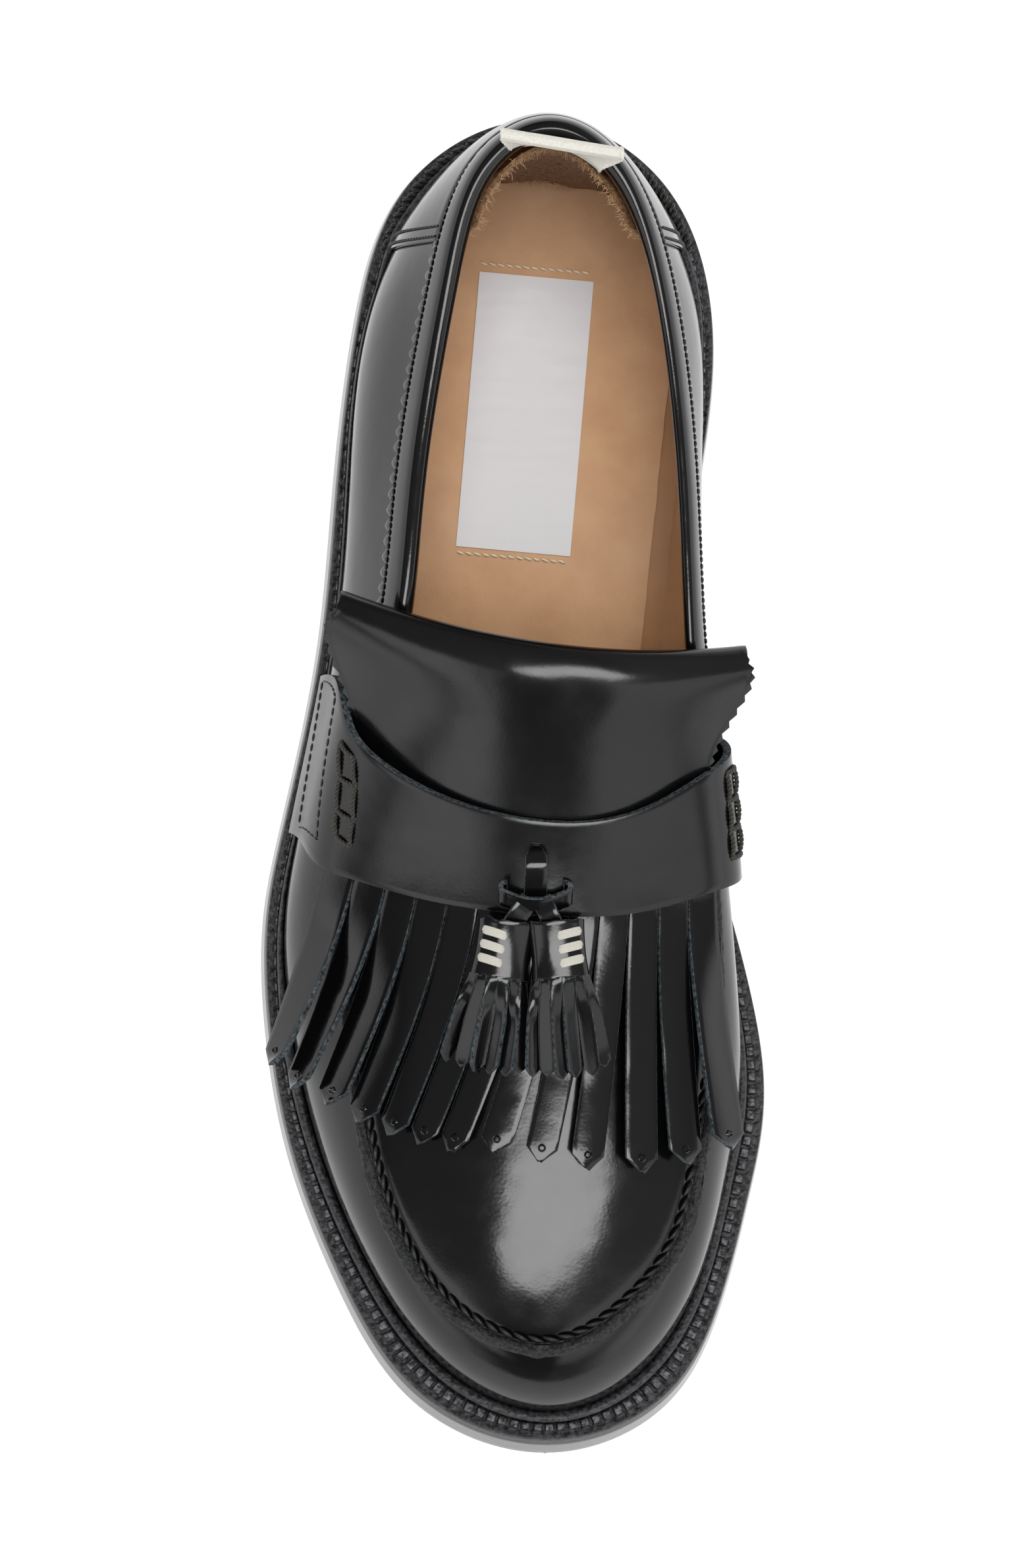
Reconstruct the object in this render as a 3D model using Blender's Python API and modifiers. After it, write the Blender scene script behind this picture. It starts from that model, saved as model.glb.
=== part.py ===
"""Right-foot kiltie loafer with two tassels, on a storm welt and a stacked heel.

Lengths are millimetres. A station is the distance forward from the back of the sole, "out" is the
distance to the inner side of the foot (negative on the outer side), and height is measured from the floor.
"""
from collections import namedtuple

import bmesh
import bpy
import numpy as np

MM = 0.001

# Driving dimensions
LENGTH = 298.4
BALL_WIDTH = 112.3
HEEL_LIFT = 20.0
OUTSOLE = 9.0
BACK_HEIGHT = 91.0
INSTEP_HEIGHT = 69.0
UPPER_WALL = 2.0
TRIM = 1.2
STRAP_LEATHER = 1.8
INSOLE_BOARD = 3.0
GAP = 0.35
ORIGIN_STATION = 38.0

# Sole profile, from the heel's breast to the toe
HEEL_BREAST = 78.0
TREAD_START = 183.0
TREAD_END = 216.0
TOE_SPRING = 11.5
EDGE_LEAN = 0.08
TOE_LEAN = 0.5
BREAST_HOLLOW = 3.0
INSOLE_RAISE = 2 * GAP

# Heel block from the floor up: how far its side is drawn in from the sole's edge
HeelRow = namedtuple("HeelRow", "height inset")

HEEL_ROWS = (
    HeelRow(0.0, 2.6),
    HeelRow(5.0, 2.0),
    HeelRow(HEEL_LIFT - GAP, 1.2),
)

# Storm welt, heights above the outsole and distances from the upper
WELT_EDGE = 4.0
WELT_RIB = 4.7
BEAD_HEIGHT = 6.6
BEAD_WIDTH = 2.4
WELT_LAND = 1.7
RIB_LEAST = 0.6
RIB_BEVEL = 0.4
BEAD_SHOULDER = 0.6
BEAD_DIP = 1.2
GROOVE = 0.2
BEAD_SHARE = 0.91

# Upper's wall: how strongly it starts upright at the foot and ends along its lean at the top
FOOT_PULL = 0.42
TOP_PULL = 0.36

# Raised apron seam
LIP_HEIGHT = 1.9
LIP_START = 176.0
LIP_FULL = 188.0
THROAT = 142.0

# Collar binding
BINDING_DROP = 9.0
BINDING_INSIDE = 4.0
BINDING_ROLL = 2.0
BINDING_END = 131.0
BINDING_SHOULDER = 0.5
ROLL_INSET = 0.2

# Counter, between the welt's bead and the binding
COUNTER_FRONT = 32.0
COUNTER_OVER_BEAD = 1.5
COUNTER_UNDER_BINDING = 1.2
COUNTER_ROWS = 8

# One row for each place around the foot. Stations are percent of LENGTH and outs percent of BALL_WIDTH.
# Rise is the collar's height in percent of BACK_HEIGHT, or None along the apron seam. Welt is the welt's
# width, lean the wall's tilt from upright at its top in degrees, and swell how far the wall bulges.
Place = namedtuple("Place", "name sole_at sole_out welt top_at top_out rise lean swell")

HEEL_BACK = Place("heel back", 0.0, -0.4, 4.8, 3.5, -0.5, 100.0, 16, 0.0)
TOE = Place("toe", 100.0, 1.6, 11.4, 92.2, 0.9, None, 64, 2.0)
OUTER = (
    Place("heel corner", 5.0, -26.9, 6.4, 7.0, -14.8, 97.8, 16, -0.4),
    Place("heel side", 15.1, -37.0, 5.4, 15.1, -21.2, 90.0, 18, 7.0),
    Place("heel breast", 28.5, -41.4, 5.8, 28.5, -26.9, 82.5, 20, 7.5),
    Place("waist", 40.2, -44.4, 6.0, 40.2, -30.0, 76.5, 26, 6.5),
    Place("joint", 53.6, -51.7, 6.2, 53.3, -36.8, None, 42, 5.0),
    Place("ball", 64.7, -54.8, 6.2, 64.7, -38.3, None, 46, 4.0),
    Place("vamp", 76.4, -50.4, 6.5, 75.9, -35.0, None, 48, 3.5),
    Place("toe side", 87.1, -40.1, 7.4, 84.0, -28.5, None, 52, 3.0),
    Place("toe corner", 95.8, -25.6, 9.6, 89.6, -17.4, None, 58, 2.5),
)
INNER = (
    Place("heel corner", 5.0, 25.4, 6.4, 7.0, 13.8, 97.8, 16, -1.0),
    Place("heel side", 15.1, 34.9, 5.8, 15.1, 21.8, 90.0, 18, 3.0),
    Place("heel breast", 28.5, 31.9, 4.4, 28.5, 26.6, 82.5, 18, 5.5),
    Place("waist", 40.2, 29.0, 4.2, 40.2, 28.3, 77.0, 20, 7.5),
    Place("joint", 53.6, 35.2, 5.8, 53.3, 31.3, None, 36, 2.6),
    Place("ball", 71.0, 46.0, 6.2, 69.0, 33.4, None, 42, 3.0),
    Place("vamp", 80.4, 43.2, 6.5, 77.7, 30.6, None, 46, 3.5),
    Place("toe side", 88.8, 37.2, 7.4, 84.6, 26.0, None, 52, 3.0),
    Place("toe corner", 96.1, 26.6, 9.6, 89.3, 16.2, None, 58, 2.5),
)

# Apron over the instep and vamp: ridge in percent of INSTEP_HEIGHT, arch across in drop per squared
# millimetre, and how far the ridge lies to the inner side
Ridge = namedtuple("Ridge", "at height arch centre")

RIDGE = (
    Ridge(100, 135.0, 0.0115, 4.0),
    Ridge(124, 119.5, 0.0115, 4.0),
    Ridge(142, 109.5, 0.0110, 3.5),
    Ridge(160, 100.0, 0.0100, 3.0),
    Ridge(180, 91.0, 0.0092, 2.0),
    Ridge(200, 84.5, 0.0084, 1.0),
    Ridge(220, 80.3, 0.0075, 0.6),
    Ridge(240, 76.3, 0.0070, 0.5),
    Ridge(260, 70.8, 0.0078, 0.8),
    Ridge(276, 64.3, 0.0085, 1.0),
    Ridge(300, 50.0, 0.0085, 1.0),
)

# Kiltie rows from the roll to the fringe's root: station and out at both edges, station in the middle,
# lift over the apron, and flare, the part of the apron's arch that the leather doesn't follow
KiltieRow = namedtuple("KiltieRow", "name outer_at outer_out middle_at inner_at inner_out lift flare")

KILTIE = (
    KiltieRow("roll", 114.5, -45.5, 127.0, 126.5, 42.6, 5.5, 0.0042),
    KiltieRow("wing", 121.0, -48.0, 134.0, 132.5, 43.0, 5.0, 0.0034),
    KiltieRow("neck", 136.5, -42.4, 146.0, 147.0, 35.5, 2.9, 0.0007),
    KiltieRow("strap", 152.0, -44.0, 164.0, 161.0, 36.8, 1.5, 0.0002),
    KiltieRow("root", 168.5, -47.8, 182.5, 176.0, 37.3, 1.5, 0.0),
)
KILTIE_ROWS = 11
ROLL_RADIUS = 2.3
ROLL_STEPS = 5
UNDERLAY = 12.0
UNDERLAY_TAPER = 0.12
UNDERLAY_SINK = 2.0
FRINGE_LIP_CLEAR = 1.5
LIP_REACH = (18.0, 32.0)
FREE_SHARE = 0.6
BODY_REACH = 60.0
STRIP_REACH = 34.0
STRIP_WIDTH = 7.2
STRIP_STEPS = 6
STRIP_POINT = 3.0
STRIP_ROOM = 0.92

# Where each fringe strip ends, from the outer side to the inner
Tip = namedtuple("Tip", "at out rise")

TIPS = (
    Tip(209.0, -59.0, 3.0),
    Tip(217.0, -53.6, 2.0),
    Tip(222.5, -47.0, 1.0),
    Tip(226.5, -40.3, 0.8),
    Tip(229.5, -33.6, 0.8),
    Tip(231.5, -27.2, 0.8),
    Tip(233.0, -20.6, 0.8),
    Tip(233.5, -11.6, 0.8),
    Tip(235.5, -1.6, 0.8),
    Tip(237.0, 8.6, 0.8),
    Tip(237.5, 20.8, 0.8),
    Tip(235.5, 30.6, 0.8),
    Tip(232.0, 40.2, 1.5),
)

# Strap from its outer end to its inner end: share of the way across, station of its back and front edge,
# and lift over the upper
StrapRow = namedtuple("StrapRow", "across back front lift")

STRAP = (
    StrapRow(0.00, 127.0, 160.5, 0.6),
    StrapRow(0.10, 128.5, 163.5, 1.1),
    StrapRow(0.19, 135.0, 168.5, 4.0),
    StrapRow(0.25, 143.5, 171.5, 4.8),
    StrapRow(0.33, 152.5, 176.5, 4.2),
    StrapRow(0.50, 162.0, 182.0, 3.6),
    StrapRow(0.67, 157.5, 180.0, 4.1),
    StrapRow(0.75, 149.0, 175.0, 4.8),
    StrapRow(0.84, 143.5, 172.0, 1.4),
    StrapRow(1.00, 140.0, 170.0, 0.6),
)
STRAP_FOOT = 0.34
STRAP_RINGS = 30
STRAP_SIDE = 0.25
STRAP_ACROSS = (0.0, 0.33, 0.67, 1.0)

# Tassels: middle of the head's top and of the skirt's hem
Tassel = namedtuple("Tassel", "name head_at head_out hem_at hem_out hem_width")

TASSELS = (
    Tassel("tassel_outer", 184.4, -8.8, 216.0, -14.0, 18.0),
    Tassel("tassel_inner", 184.4, 2.8, 217.0, 5.4, 19.0),
)
HEAD_LENGTH = 13.0
HEAD_WIDTH = 10.4
HEAD_DEPTH = 5.0
HEAD_SIDES = 12
HEAD_RAISE = 0.4
FRINGE_RISE = 0.8
SKIRT_STRIPS = 8
SKIRT_STEPS = 4
SKIRT_DEPTH = 1.5
SKIRT_WIDTHS = (1.9, 2.3)
SKIRT_ROOT = 0.42
SKIRT_INSIDE = 2.0
SKIRT_LAYER = 0.9
HEM_CURVE = 2.5

# Tassel head from its top: distance along it and size
HeadRing = namedtuple("HeadRing", "along size")

HEAD_RINGS = (
    HeadRing(0.0, 0.62),
    HeadRing(1.2, 0.90),
    HeadRing(4.0, 1.00),
    HeadRing(9.0, 1.00),
    HeadRing(HEAD_LENGTH, 1.06),
)

# Bow, loop and thongs that carry the tassels
TIE_STATION = 176.0
TIE_OUT = -3.0
TIE_RISE = 0.95
BOW_WIDTH = 17.0
BOW_LENGTH = 5.0
BOW_DEPTH = 4.2
THONG_WIDTH = 2.8
THONG_DEPTH = 1.5
LOOP_WIDTH = 4.5
THONG_STEPS = 4
THONG_APART = 3.6
BOW_STEPS = 9
BOW_BEND = 1.2
BOW_TAPER = 0.75

# Thong loop behind the bow: station and rise over the strap
LoopRow = namedtuple("LoopRow", "at rise")

TIE_LOOP = (
    LoopRow(168.5, 0.0),
    LoopRow(171.0, 1.6),
    LoopRow(175.0, 1.4),
)

# Ribbon loop at the back of the collar
RIBBON_WIDTH = 26.0
RIBBON = 0.8
RIBBON_OUT = 1.6
RIBBON_AT = 15.3
RIBBON_TWIST = 0.2
RIBBON_TOP = 98.0
RIBBON_FOOT = 88.0
RIBBON_OPEN = 2.4
RIBBON_FOLD = 1.6
LEGS_APART = 1.3
RIM_CLEAR = 1.5
RIBBON_STEPS = 9
RIBBON_TURNS = 0.08

# Label on the insole
LABEL_BACK = 36.5
LABEL_FRONT = 98.0
LABEL_WIDTH = 25.5
LABEL_OUT = (-1.0, -6.2)
LABEL_LEATHER = 0.4
LABEL_RINGS = 8

# Resolution
HALF_STEPS = 32
INSOLE_STEPS = 22
END_CROWDING = 0.42
WALL_ROWS = (0.0, 0.1, 0.22, 0.36, 0.5, 0.64, 0.78, 0.88, 0.895, 0.955, 0.97, 1.0)
LIP_ROWS = (0.895, 0.955)
ACROSS = 8

Finish = namedtuple("Finish", "colour roughness")

FINISHES = {
    "polished_leather": Finish((0.012, 0.012, 0.014), 0.12),
    "welt_leather": Finish((0.016, 0.015, 0.015), 0.45),
    "sole_edge": Finish((0.014, 0.013, 0.014), 0.25),
    "insole_leather": Finish((0.42, 0.27, 0.15), 0.5),
    "ribbon": Finish((0.80, 0.78, 0.73), 0.7),
}


def cubic(knots, values, at):
    """Natural cubic spline through the rows of values."""
    knots = np.asarray(knots, float)
    values = np.asarray(values, float)
    at = np.asarray(at, float)
    step = np.diff(knots)
    count = len(knots)
    system = np.eye(count)
    right = np.zeros_like(values)
    for i in range(1, count - 1):
        system[i, i - 1:i + 2] = step[i - 1], 2 * (step[i - 1] + step[i]), step[i]
        right[i] = 6 * ((values[i + 1] - values[i]) / step[i] - (values[i] - values[i - 1]) / step[i - 1])
    bend = np.linalg.solve(system, right)
    i = np.clip(np.searchsorted(knots, at) - 1, 0, count - 2)
    width = step[i]
    near = (knots[i + 1] - at) / width
    far = 1 - near
    if values.ndim > 1:
        near, far, width = near[..., None], far[..., None], width[..., None]
    cubes = (near ** 3 - near) * bend[i] + (far ** 3 - far) * bend[i + 1]
    return near * values[i] + far * values[i + 1] + cubes * width ** 2 / 6


def smooth(value, start, end):
    """Soft step from 0 at start to 1 at end."""
    share = np.clip((np.asarray(value, float) - start) / (end - start), 0, 1)
    return share * share * (3 - 2 * share)


def column(rows, name):
    """One named column of a table."""
    return np.array([getattr(row, name) for row in rows], float)


def unit(vectors):
    """Vectors scaled to length one."""
    return vectors / np.linalg.norm(vectors, axis=-1, keepdims=True)


def sole_bottom(at):
    """Height of the outsole's underside: heel seat, arch, flat tread and toe spring."""
    arch = HEEL_LIFT * (1 - smooth(at, HEEL_BREAST, TREAD_START))
    spring = np.clip((np.asarray(at, float) - TREAD_END) / (LENGTH - TREAD_END), 0, None)
    return arch + TOE_SPRING * spring ** 2


def sole_top(at):
    """Height of the outsole's upper side."""
    return sole_bottom(at) + OUTSOLE


def toe_slope(at):
    """Slope of the sole where it springs up at the toe."""
    run = LENGTH - TREAD_END
    return 2 * TOE_SPRING * np.clip(np.asarray(at, float) - TREAD_END, 0, None) / run ** 2


def ridge_values(at):
    """Ridge height, arch and centre of the apron at a station."""
    table = np.stack([column(RIDGE, "height"), column(RIDGE, "arch"), column(RIDGE, "centre")], axis=1)
    values = cubic(column(RIDGE, "at"), table, at)
    return values[..., 0] * INSTEP_HEIGHT / 100, values[..., 1], values[..., 2]


def apron(out, at):
    """Height of the apron's surface, also past its seam."""
    height, arch, centre = ridge_values(at)
    return height - arch * (out - centre) ** 2


def perimeter_table():
    """Rows around the foot, heel back to toe and back, with their knots."""
    loop = (HEEL_BACK,) + OUTER + (TOE,) + INNER[::-1]
    scale_at, scale_out = LENGTH / 100, BALL_WIDTH / 100
    sole_at, sole_out = column(loop, "sole_at") * scale_at, column(loop, "sole_out") * scale_out
    top_at, top_out = column(loop, "top_at") * scale_at, column(loop, "top_out") * scale_out
    height = apron(top_out, top_at)
    for i, place in enumerate(loop):
        if place.rise is not None:
            height[i] = place.rise * BACK_HEIGHT / 100
    extra = [column(loop, name) for name in ("welt", "lean", "swell")]
    table = np.stack([sole_out, sole_at, top_out, top_at, height] + extra, axis=1)
    chord = np.hypot(np.diff(sole_out, append=sole_out[0]), np.diff(sole_at, append=sole_at[0]))
    half = len(loop) // 2
    chord[:half] = (chord[:half] + chord[half:][::-1]) / 2
    chord[half:] = chord[:half][::-1]
    knots = np.concatenate([[0], np.cumsum(chord)])
    return knots / knots[-1], np.vstack([table, table[:1]])


KNOTS, PERIMETER = perimeter_table()
WRAP = 4
LONG_KNOTS = np.concatenate([KNOTS[-WRAP - 1:-1] - 1, KNOTS, KNOTS[1:WRAP + 1] + 1])
LONG_TABLE = np.vstack([PERIMETER[-WRAP - 1:-1], PERIMETER, PERIMETER[1:WRAP + 1]])


def perimeter(turn):
    """Columns of the perimeter table at turns 0 to 1: outer side first, then back along the inner."""
    return cubic(LONG_KNOTS, LONG_TABLE, np.mod(turn, 1.0))


def sole_edge(turn):
    """Out and station of the sole's outline."""
    return perimeter(turn)[..., :2]


def leaning_edge(turn, above):
    """Sole's outline at a height above its underside: the edge leans in, and back at the toe."""
    plan = sole_edge(turn) - outward(turn) * EDGE_LEAN * above
    plan[..., 1] -= TOE_LEAN * above * toe_slope(plan[..., 1])
    return plan


def outward(turn):
    """Unit plan vector that points out of the sole's outline."""
    small = 1e-4
    along = sole_edge(turn + small) - sole_edge(turn - small)
    return unit(np.stack([-along[..., 1], along[..., 0]], axis=-1))


def feather(turn):
    """Where the upper's outside meets the outsole."""
    plan = sole_edge(turn) - outward(turn) * perimeter(turn)[..., 5:6]
    return np.concatenate([plan, sole_top(plan[..., 1:2]) + GAP], axis=-1)


def wall(turn, share):
    """Upper's outside from the feather line at share 0 to the collar or apron seam at share 1."""
    turn, share = np.broadcast_arrays(np.asarray(turn, float), np.asarray(share, float))
    row = perimeter(turn)
    foot = feather(turn)
    top = row[..., 2:5]
    out = np.concatenate([outward(turn), np.zeros(turn.shape + (1,))], axis=-1)
    up = np.zeros_like(out)
    up[..., 2] = 1
    reach = np.linalg.norm(top - foot, axis=-1, keepdims=True)
    lean = np.radians(row[..., 6:7])
    first = foot + out * row[..., 7:8] + up * reach * FOOT_PULL
    last = top + (out * np.sin(lean) - up * np.cos(lean)) * reach * TOP_PULL
    s = share[..., None]
    return (1 - s) ** 3 * foot + 3 * s * (1 - s) ** 2 * first + 3 * s ** 2 * (1 - s) * last + s ** 3 * top


def wall_normal(turn, share):
    """Outward normal of the upper's wall."""
    small = 1e-3
    turn, share = np.broadcast_arrays(np.asarray(turn, float), np.asarray(share, float))
    low, high = np.clip(share - small, 0, 1), np.clip(share + small, 0, 1)
    around = wall(turn + small, share) - wall(turn - small, share)
    upward = wall(turn, high) - wall(turn, low)
    return unit(np.cross(upward, around))


def seam_share(turn):
    """0 along the collar, 1 along the apron seam's raised lip."""
    return smooth(perimeter(turn)[..., 3], LIP_START, LIP_FULL)


def half_turns(steps):
    """Turns from heel back to toe along the outer side, closer together at both ends."""
    even = np.linspace(0, 1, steps + 1)
    return (even - END_CROWDING * np.sin(2 * np.pi * even) / (2 * np.pi)) / 2


def full_turns(steps):
    """Turns around the whole foot, each outer turn with its mirror on the inner side."""
    half = half_turns(steps)
    return np.concatenate([half, 1 - half[-2:0:-1]])


def turn_at(station, inner=False):
    """Turn whose collar or seam point lies at a station."""
    turns = np.linspace(0.02, 0.48, 400)
    if inner:
        turns = 1 - turns
    return np.interp(station, perimeter(turns)[:, 3], turns)


def world(points):
    """Blender coordinates of points given as out, station and height."""
    points = np.asarray(points, float)
    return np.stack([points[..., 0], ORIGIN_STATION - points[..., 1], points[..., 2]], axis=-1) * MM


class Skin:
    """Points and faces of one piece, joined row by row."""

    def __init__(self):
        self.points = []
        self.faces = []

    def row(self, points):
        """Add a row of points and return their numbers."""
        start = len(self.points)
        self.points.extend(tuple(p) for p in world(points))
        return list(range(start, len(self.points)))

    def band(self, low, high, closed=False):
        """Quads between two rows of equal length."""
        pairs = list(zip(low, high))
        if closed:
            pairs.append(pairs[0])
        for (a, b), (c, d) in zip(pairs, pairs[1:]):
            self.faces.append((a, c, d, b))

    def fan(self, row, tip):
        """Triangles from a row to one point."""
        for a, b in zip(row, row[1:]):
            self.faces.append((a, b, tip))

    def web(self, ring, inside):
        """Close a ring of mirrored points with rows of inner points across it."""
        count = len(ring)
        rows = []
        for step, points in enumerate(inside, start=1):
            rows.append([ring[step]] + self.row(points) + [ring[count - step]])
        self.fan(rows[0], ring[0])
        for near, far in zip(rows, rows[1:]):
            self.band(near, far)
        self.fan(rows[-1], ring[count // 2])

    def loft(self, rings, closed=False):
        """Tube through closed rings, capped at both ends unless it closes on itself."""
        rows = [self.row(ring) for ring in rings]
        for low, high in zip(rows, rows[1:] + rows[:1] if closed else rows[1:]):
            self.band(low, high, closed=True)
        if not closed:
            self.faces.append(tuple(rows[0]))
            self.faces.append(tuple(rows[-1]))

    def make(self, name, finish):
        """Blender object with outward faces."""
        mesh = bpy.data.meshes.new(name)
        mesh.from_pydata(self.points, [], self.faces)
        tidy = bmesh.new()
        tidy.from_mesh(mesh)
        bmesh.ops.recalc_face_normals(tidy, faces=tidy.faces)
        tidy.to_mesh(mesh)
        tidy.free()
        mesh.shade_smooth()
        mesh.materials.append(MATERIALS[finish])
        piece = bpy.data.objects.new(name, mesh)
        PARTS.objects.link(piece)
        return piece


def solidify(piece, thickness, side):
    """Give an open surface its leather; side -1 grows inward and 1 outward."""
    shell = piece.modifiers.new("leather", "SOLIDIFY")
    shell.thickness = thickness * MM
    shell.offset = side
    shell.use_even_offset = True


def plate(name, finish, under, plan, low, high):
    """Solid between a lower and an upper outline, whose heights are functions of the station."""
    skin = Skin()
    rings = []
    for ring, height in ((under, low), (plan, high)):
        rings.append(skin.row(np.column_stack([ring, height(ring[:, 1])])))
    skin.band(rings[0], rings[1], closed=True)
    share = np.linspace(0, 1, ACROSS + 1)[1:-1, None]
    half = len(plan) // 2
    for numbers, ring, height in ((rings[0], under, low), (rings[1], plan, high)):
        inside = []
        for step in range(1, half):
            across = ring[step] * (1 - share) + ring[-step] * share
            inside.append(np.column_stack([across, height(across[:, 1])]))
        skin.web(numbers, inside)
    return skin.make(name, finish)


def make_heel():
    """Heel block: its top under the outsole, its sides drawn in towards the floor."""
    turns = full_turns(HALF_STEPS)
    stations = sole_edge(turns)[:, 1]
    inside = np.where(stations < HEEL_BREAST)[0]
    back = [i for i in inside if i > len(turns) // 2] + [i for i in inside if i <= len(turns) // 2]
    skin = Skin()
    rings = []
    for row in HEEL_ROWS:
        plan = sole_edge(turns[back]) - outward(turns[back]) * row.inset
        ends = plan[[-1, 0]]
        ends[:, 1] = HEEL_BREAST
        middle = ends.mean(axis=0) - (0.0, BREAST_HOLLOW)
        ring = np.vstack([plan, ends[:1], middle, ends[1:]])
        rings.append(np.column_stack([ring, np.full(len(ring), row.height)]))
    skin.loft(rings)
    return skin.make("heel", "sole_edge")


def make_outsole():
    """Outsole with arch, flat tread and toe spring."""
    turns = full_turns(HALF_STEPS)
    top = leaning_edge(turns, OUTSOLE)
    return plate("outsole", "sole_edge", sole_edge(turns), top, sole_bottom, sole_top)


def make_insole():
    """Insole board inside the upper, on the outsole."""
    turns = full_turns(INSOLE_STEPS)
    plan = feather(turns)[:, :2] - outward(turns) * (UPPER_WALL + INSOLE_RAISE)

    def low(at):
        return sole_top(at) + INSOLE_RAISE

    def high(at):
        return low(at) + INSOLE_BOARD

    return plate("insole", "insole_leather", plan, plan, low, high)


def make_label():
    """Blank label on the insole, turned a little to the outer side."""
    tilt = (LABEL_OUT[0] - LABEL_OUT[1]) / (LABEL_FRONT - LABEL_BACK)
    skin = Skin()
    rings = []
    for at in np.linspace(LABEL_BACK, LABEL_FRONT, LABEL_RINGS):
        middle = np.interp(at, (LABEL_BACK, LABEL_FRONT), LABEL_OUT)
        ring = []
        for side, above in ((-1, 0), (1, 0), (1, 1), (-1, 1)):
            corner = at + side * tilt * LABEL_WIDTH / 2
            height = sole_top(corner) + INSOLE_RAISE + INSOLE_BOARD + GAP + above * LABEL_LEATHER
            ring.append((middle + side * LABEL_WIDTH / 2, corner, height))
        rings.append(ring)
    skin.loft(rings)
    return skin.make("insole_label", "ribbon")


def make_welt():
    """Storm welt: land at the edge, raised rib band, groove, and a bead up against the upper."""
    turns = full_turns(HALF_STEPS)
    edge = leaning_edge(turns, OUTSOLE + WELT_EDGE)
    low_edge = leaning_edge(turns, OUTSOLE)
    out = outward(turns)
    reach = np.linalg.norm(wall(turns, 1.0) - feather(turns), axis=1)
    bead = BEAD_HEIGHT / reach * BEAD_SHARE
    low_wall = wall(turns, 0.0)[:, :2] + out * GAP
    bead_wall = wall(turns, bead)[:, :2] + out * GAP
    low_wall = np.where((np.sum((bead_wall - low_wall) * out, axis=1) < 0)[:, None], bead_wall, low_wall)
    room = np.sum((edge - bead_wall) * out, axis=1)
    ribs = np.maximum(room - WELT_LAND, BEAD_WIDTH * RIB_LEAST)
    valley = np.minimum(BEAD_WIDTH, ribs - RIB_LEAST)

    def level(plan, above):
        return np.column_stack([plan, sole_top(plan[:, 1]) + above])

    profile = [
        level(low_wall, GAP),
        level(bead_wall, BEAD_HEIGHT - BEAD_SHOULDER),
        level(bead_wall + out * valley[:, None] * 0.45, BEAD_HEIGHT),
        level(bead_wall + out * valley[:, None] * 0.95, BEAD_HEIGHT - BEAD_DIP),
        level(bead_wall + out * (valley[:, None] + GROOVE / 2), WELT_EDGE - GROOVE),
        level(bead_wall + out * (valley[:, None] + GROOVE / 2 + RIB_BEVEL), WELT_RIB),
        level(bead_wall + out * ribs[:, None], WELT_RIB),
        level(bead_wall + out * (ribs[:, None] + RIB_BEVEL), WELT_EDGE),
        level(edge, WELT_EDGE),
        level(low_edge, GAP),
    ]
    skin = Skin()
    skin.loft(np.stack(profile, axis=1), closed=True)
    return skin.make("welt", "welt_leather")


def make_upper():
    """Quarters, toe wall and apron as one shell, open at the collar, at the throat and underneath."""
    turns = full_turns(HALF_STEPS)
    half = HALF_STEPS
    skin = Skin()
    rows = []
    for share in WALL_ROWS:
        points = wall(turns, share)
        if share in LIP_ROWS:
            points = points + wall_normal(turns, share) * (LIP_HEIGHT * seam_share(turns))[:, None]
        rows.append(skin.row(points))
    for low, high in zip(rows, rows[1:]):
        skin.band(low, high, closed=True)
    top = wall(turns, 1.0)
    across = np.linspace(0, 1, ACROSS + 1)[1:-1, None]
    seam = rows[-1]
    strips = []
    first = int(np.argmax(top[:half + 1, 1] > THROAT))
    for step in range(first, half):
        outer, inner = top[step], top[-step]
        line = outer * (1 - across) + inner * across
        rise = np.array([end[2] - apron(end[0], end[1]) for end in (outer, inner)])
        line[:, 2] = apron(line[:, 0], line[:, 1]) + rise[0] * (1 - across[:, 0]) + rise[1] * across[:, 0]
        strips.append([seam[step]] + skin.row(line) + [seam[-step]])
    for near, far in zip(strips, strips[1:]):
        skin.band(near, far)
    skin.fan(strips[-1], seam[half])
    upper = skin.make("upper", "polished_leather")
    solidify(upper, UPPER_WALL, -1)
    return upper


def make_counter():
    """Counter laid over the back of the quarters, between the welt's bead and the binding."""
    turns = full_turns(HALF_STEPS)
    front = [turn_at(COUNTER_FRONT), turn_at(COUNTER_FRONT, inner=True)]
    around = [t - 1 for t in turns if t > front[1]] + [t for t in turns if t < front[0]]
    around = np.array([front[1] - 1] + around + [front[0]])
    reach = np.linalg.norm(wall(around, 1.0) - wall(around, 0.0), axis=1)
    low = (BEAD_HEIGHT + COUNTER_OVER_BEAD) / reach
    high = 1 - (BINDING_DROP + COUNTER_UNDER_BINDING) / reach
    skin = Skin()
    rows = []
    for share in np.linspace(0, 1, COUNTER_ROWS):
        height = low * (1 - share) + high * share
        rows.append(skin.row(wall(around, height) + wall_normal(around, height) * GAP))
    for below, above in zip(rows, rows[1:]):
        skin.band(below, above)
    counter = skin.make("heel_counter", "polished_leather")
    solidify(counter, TRIM, 1)
    return counter


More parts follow.
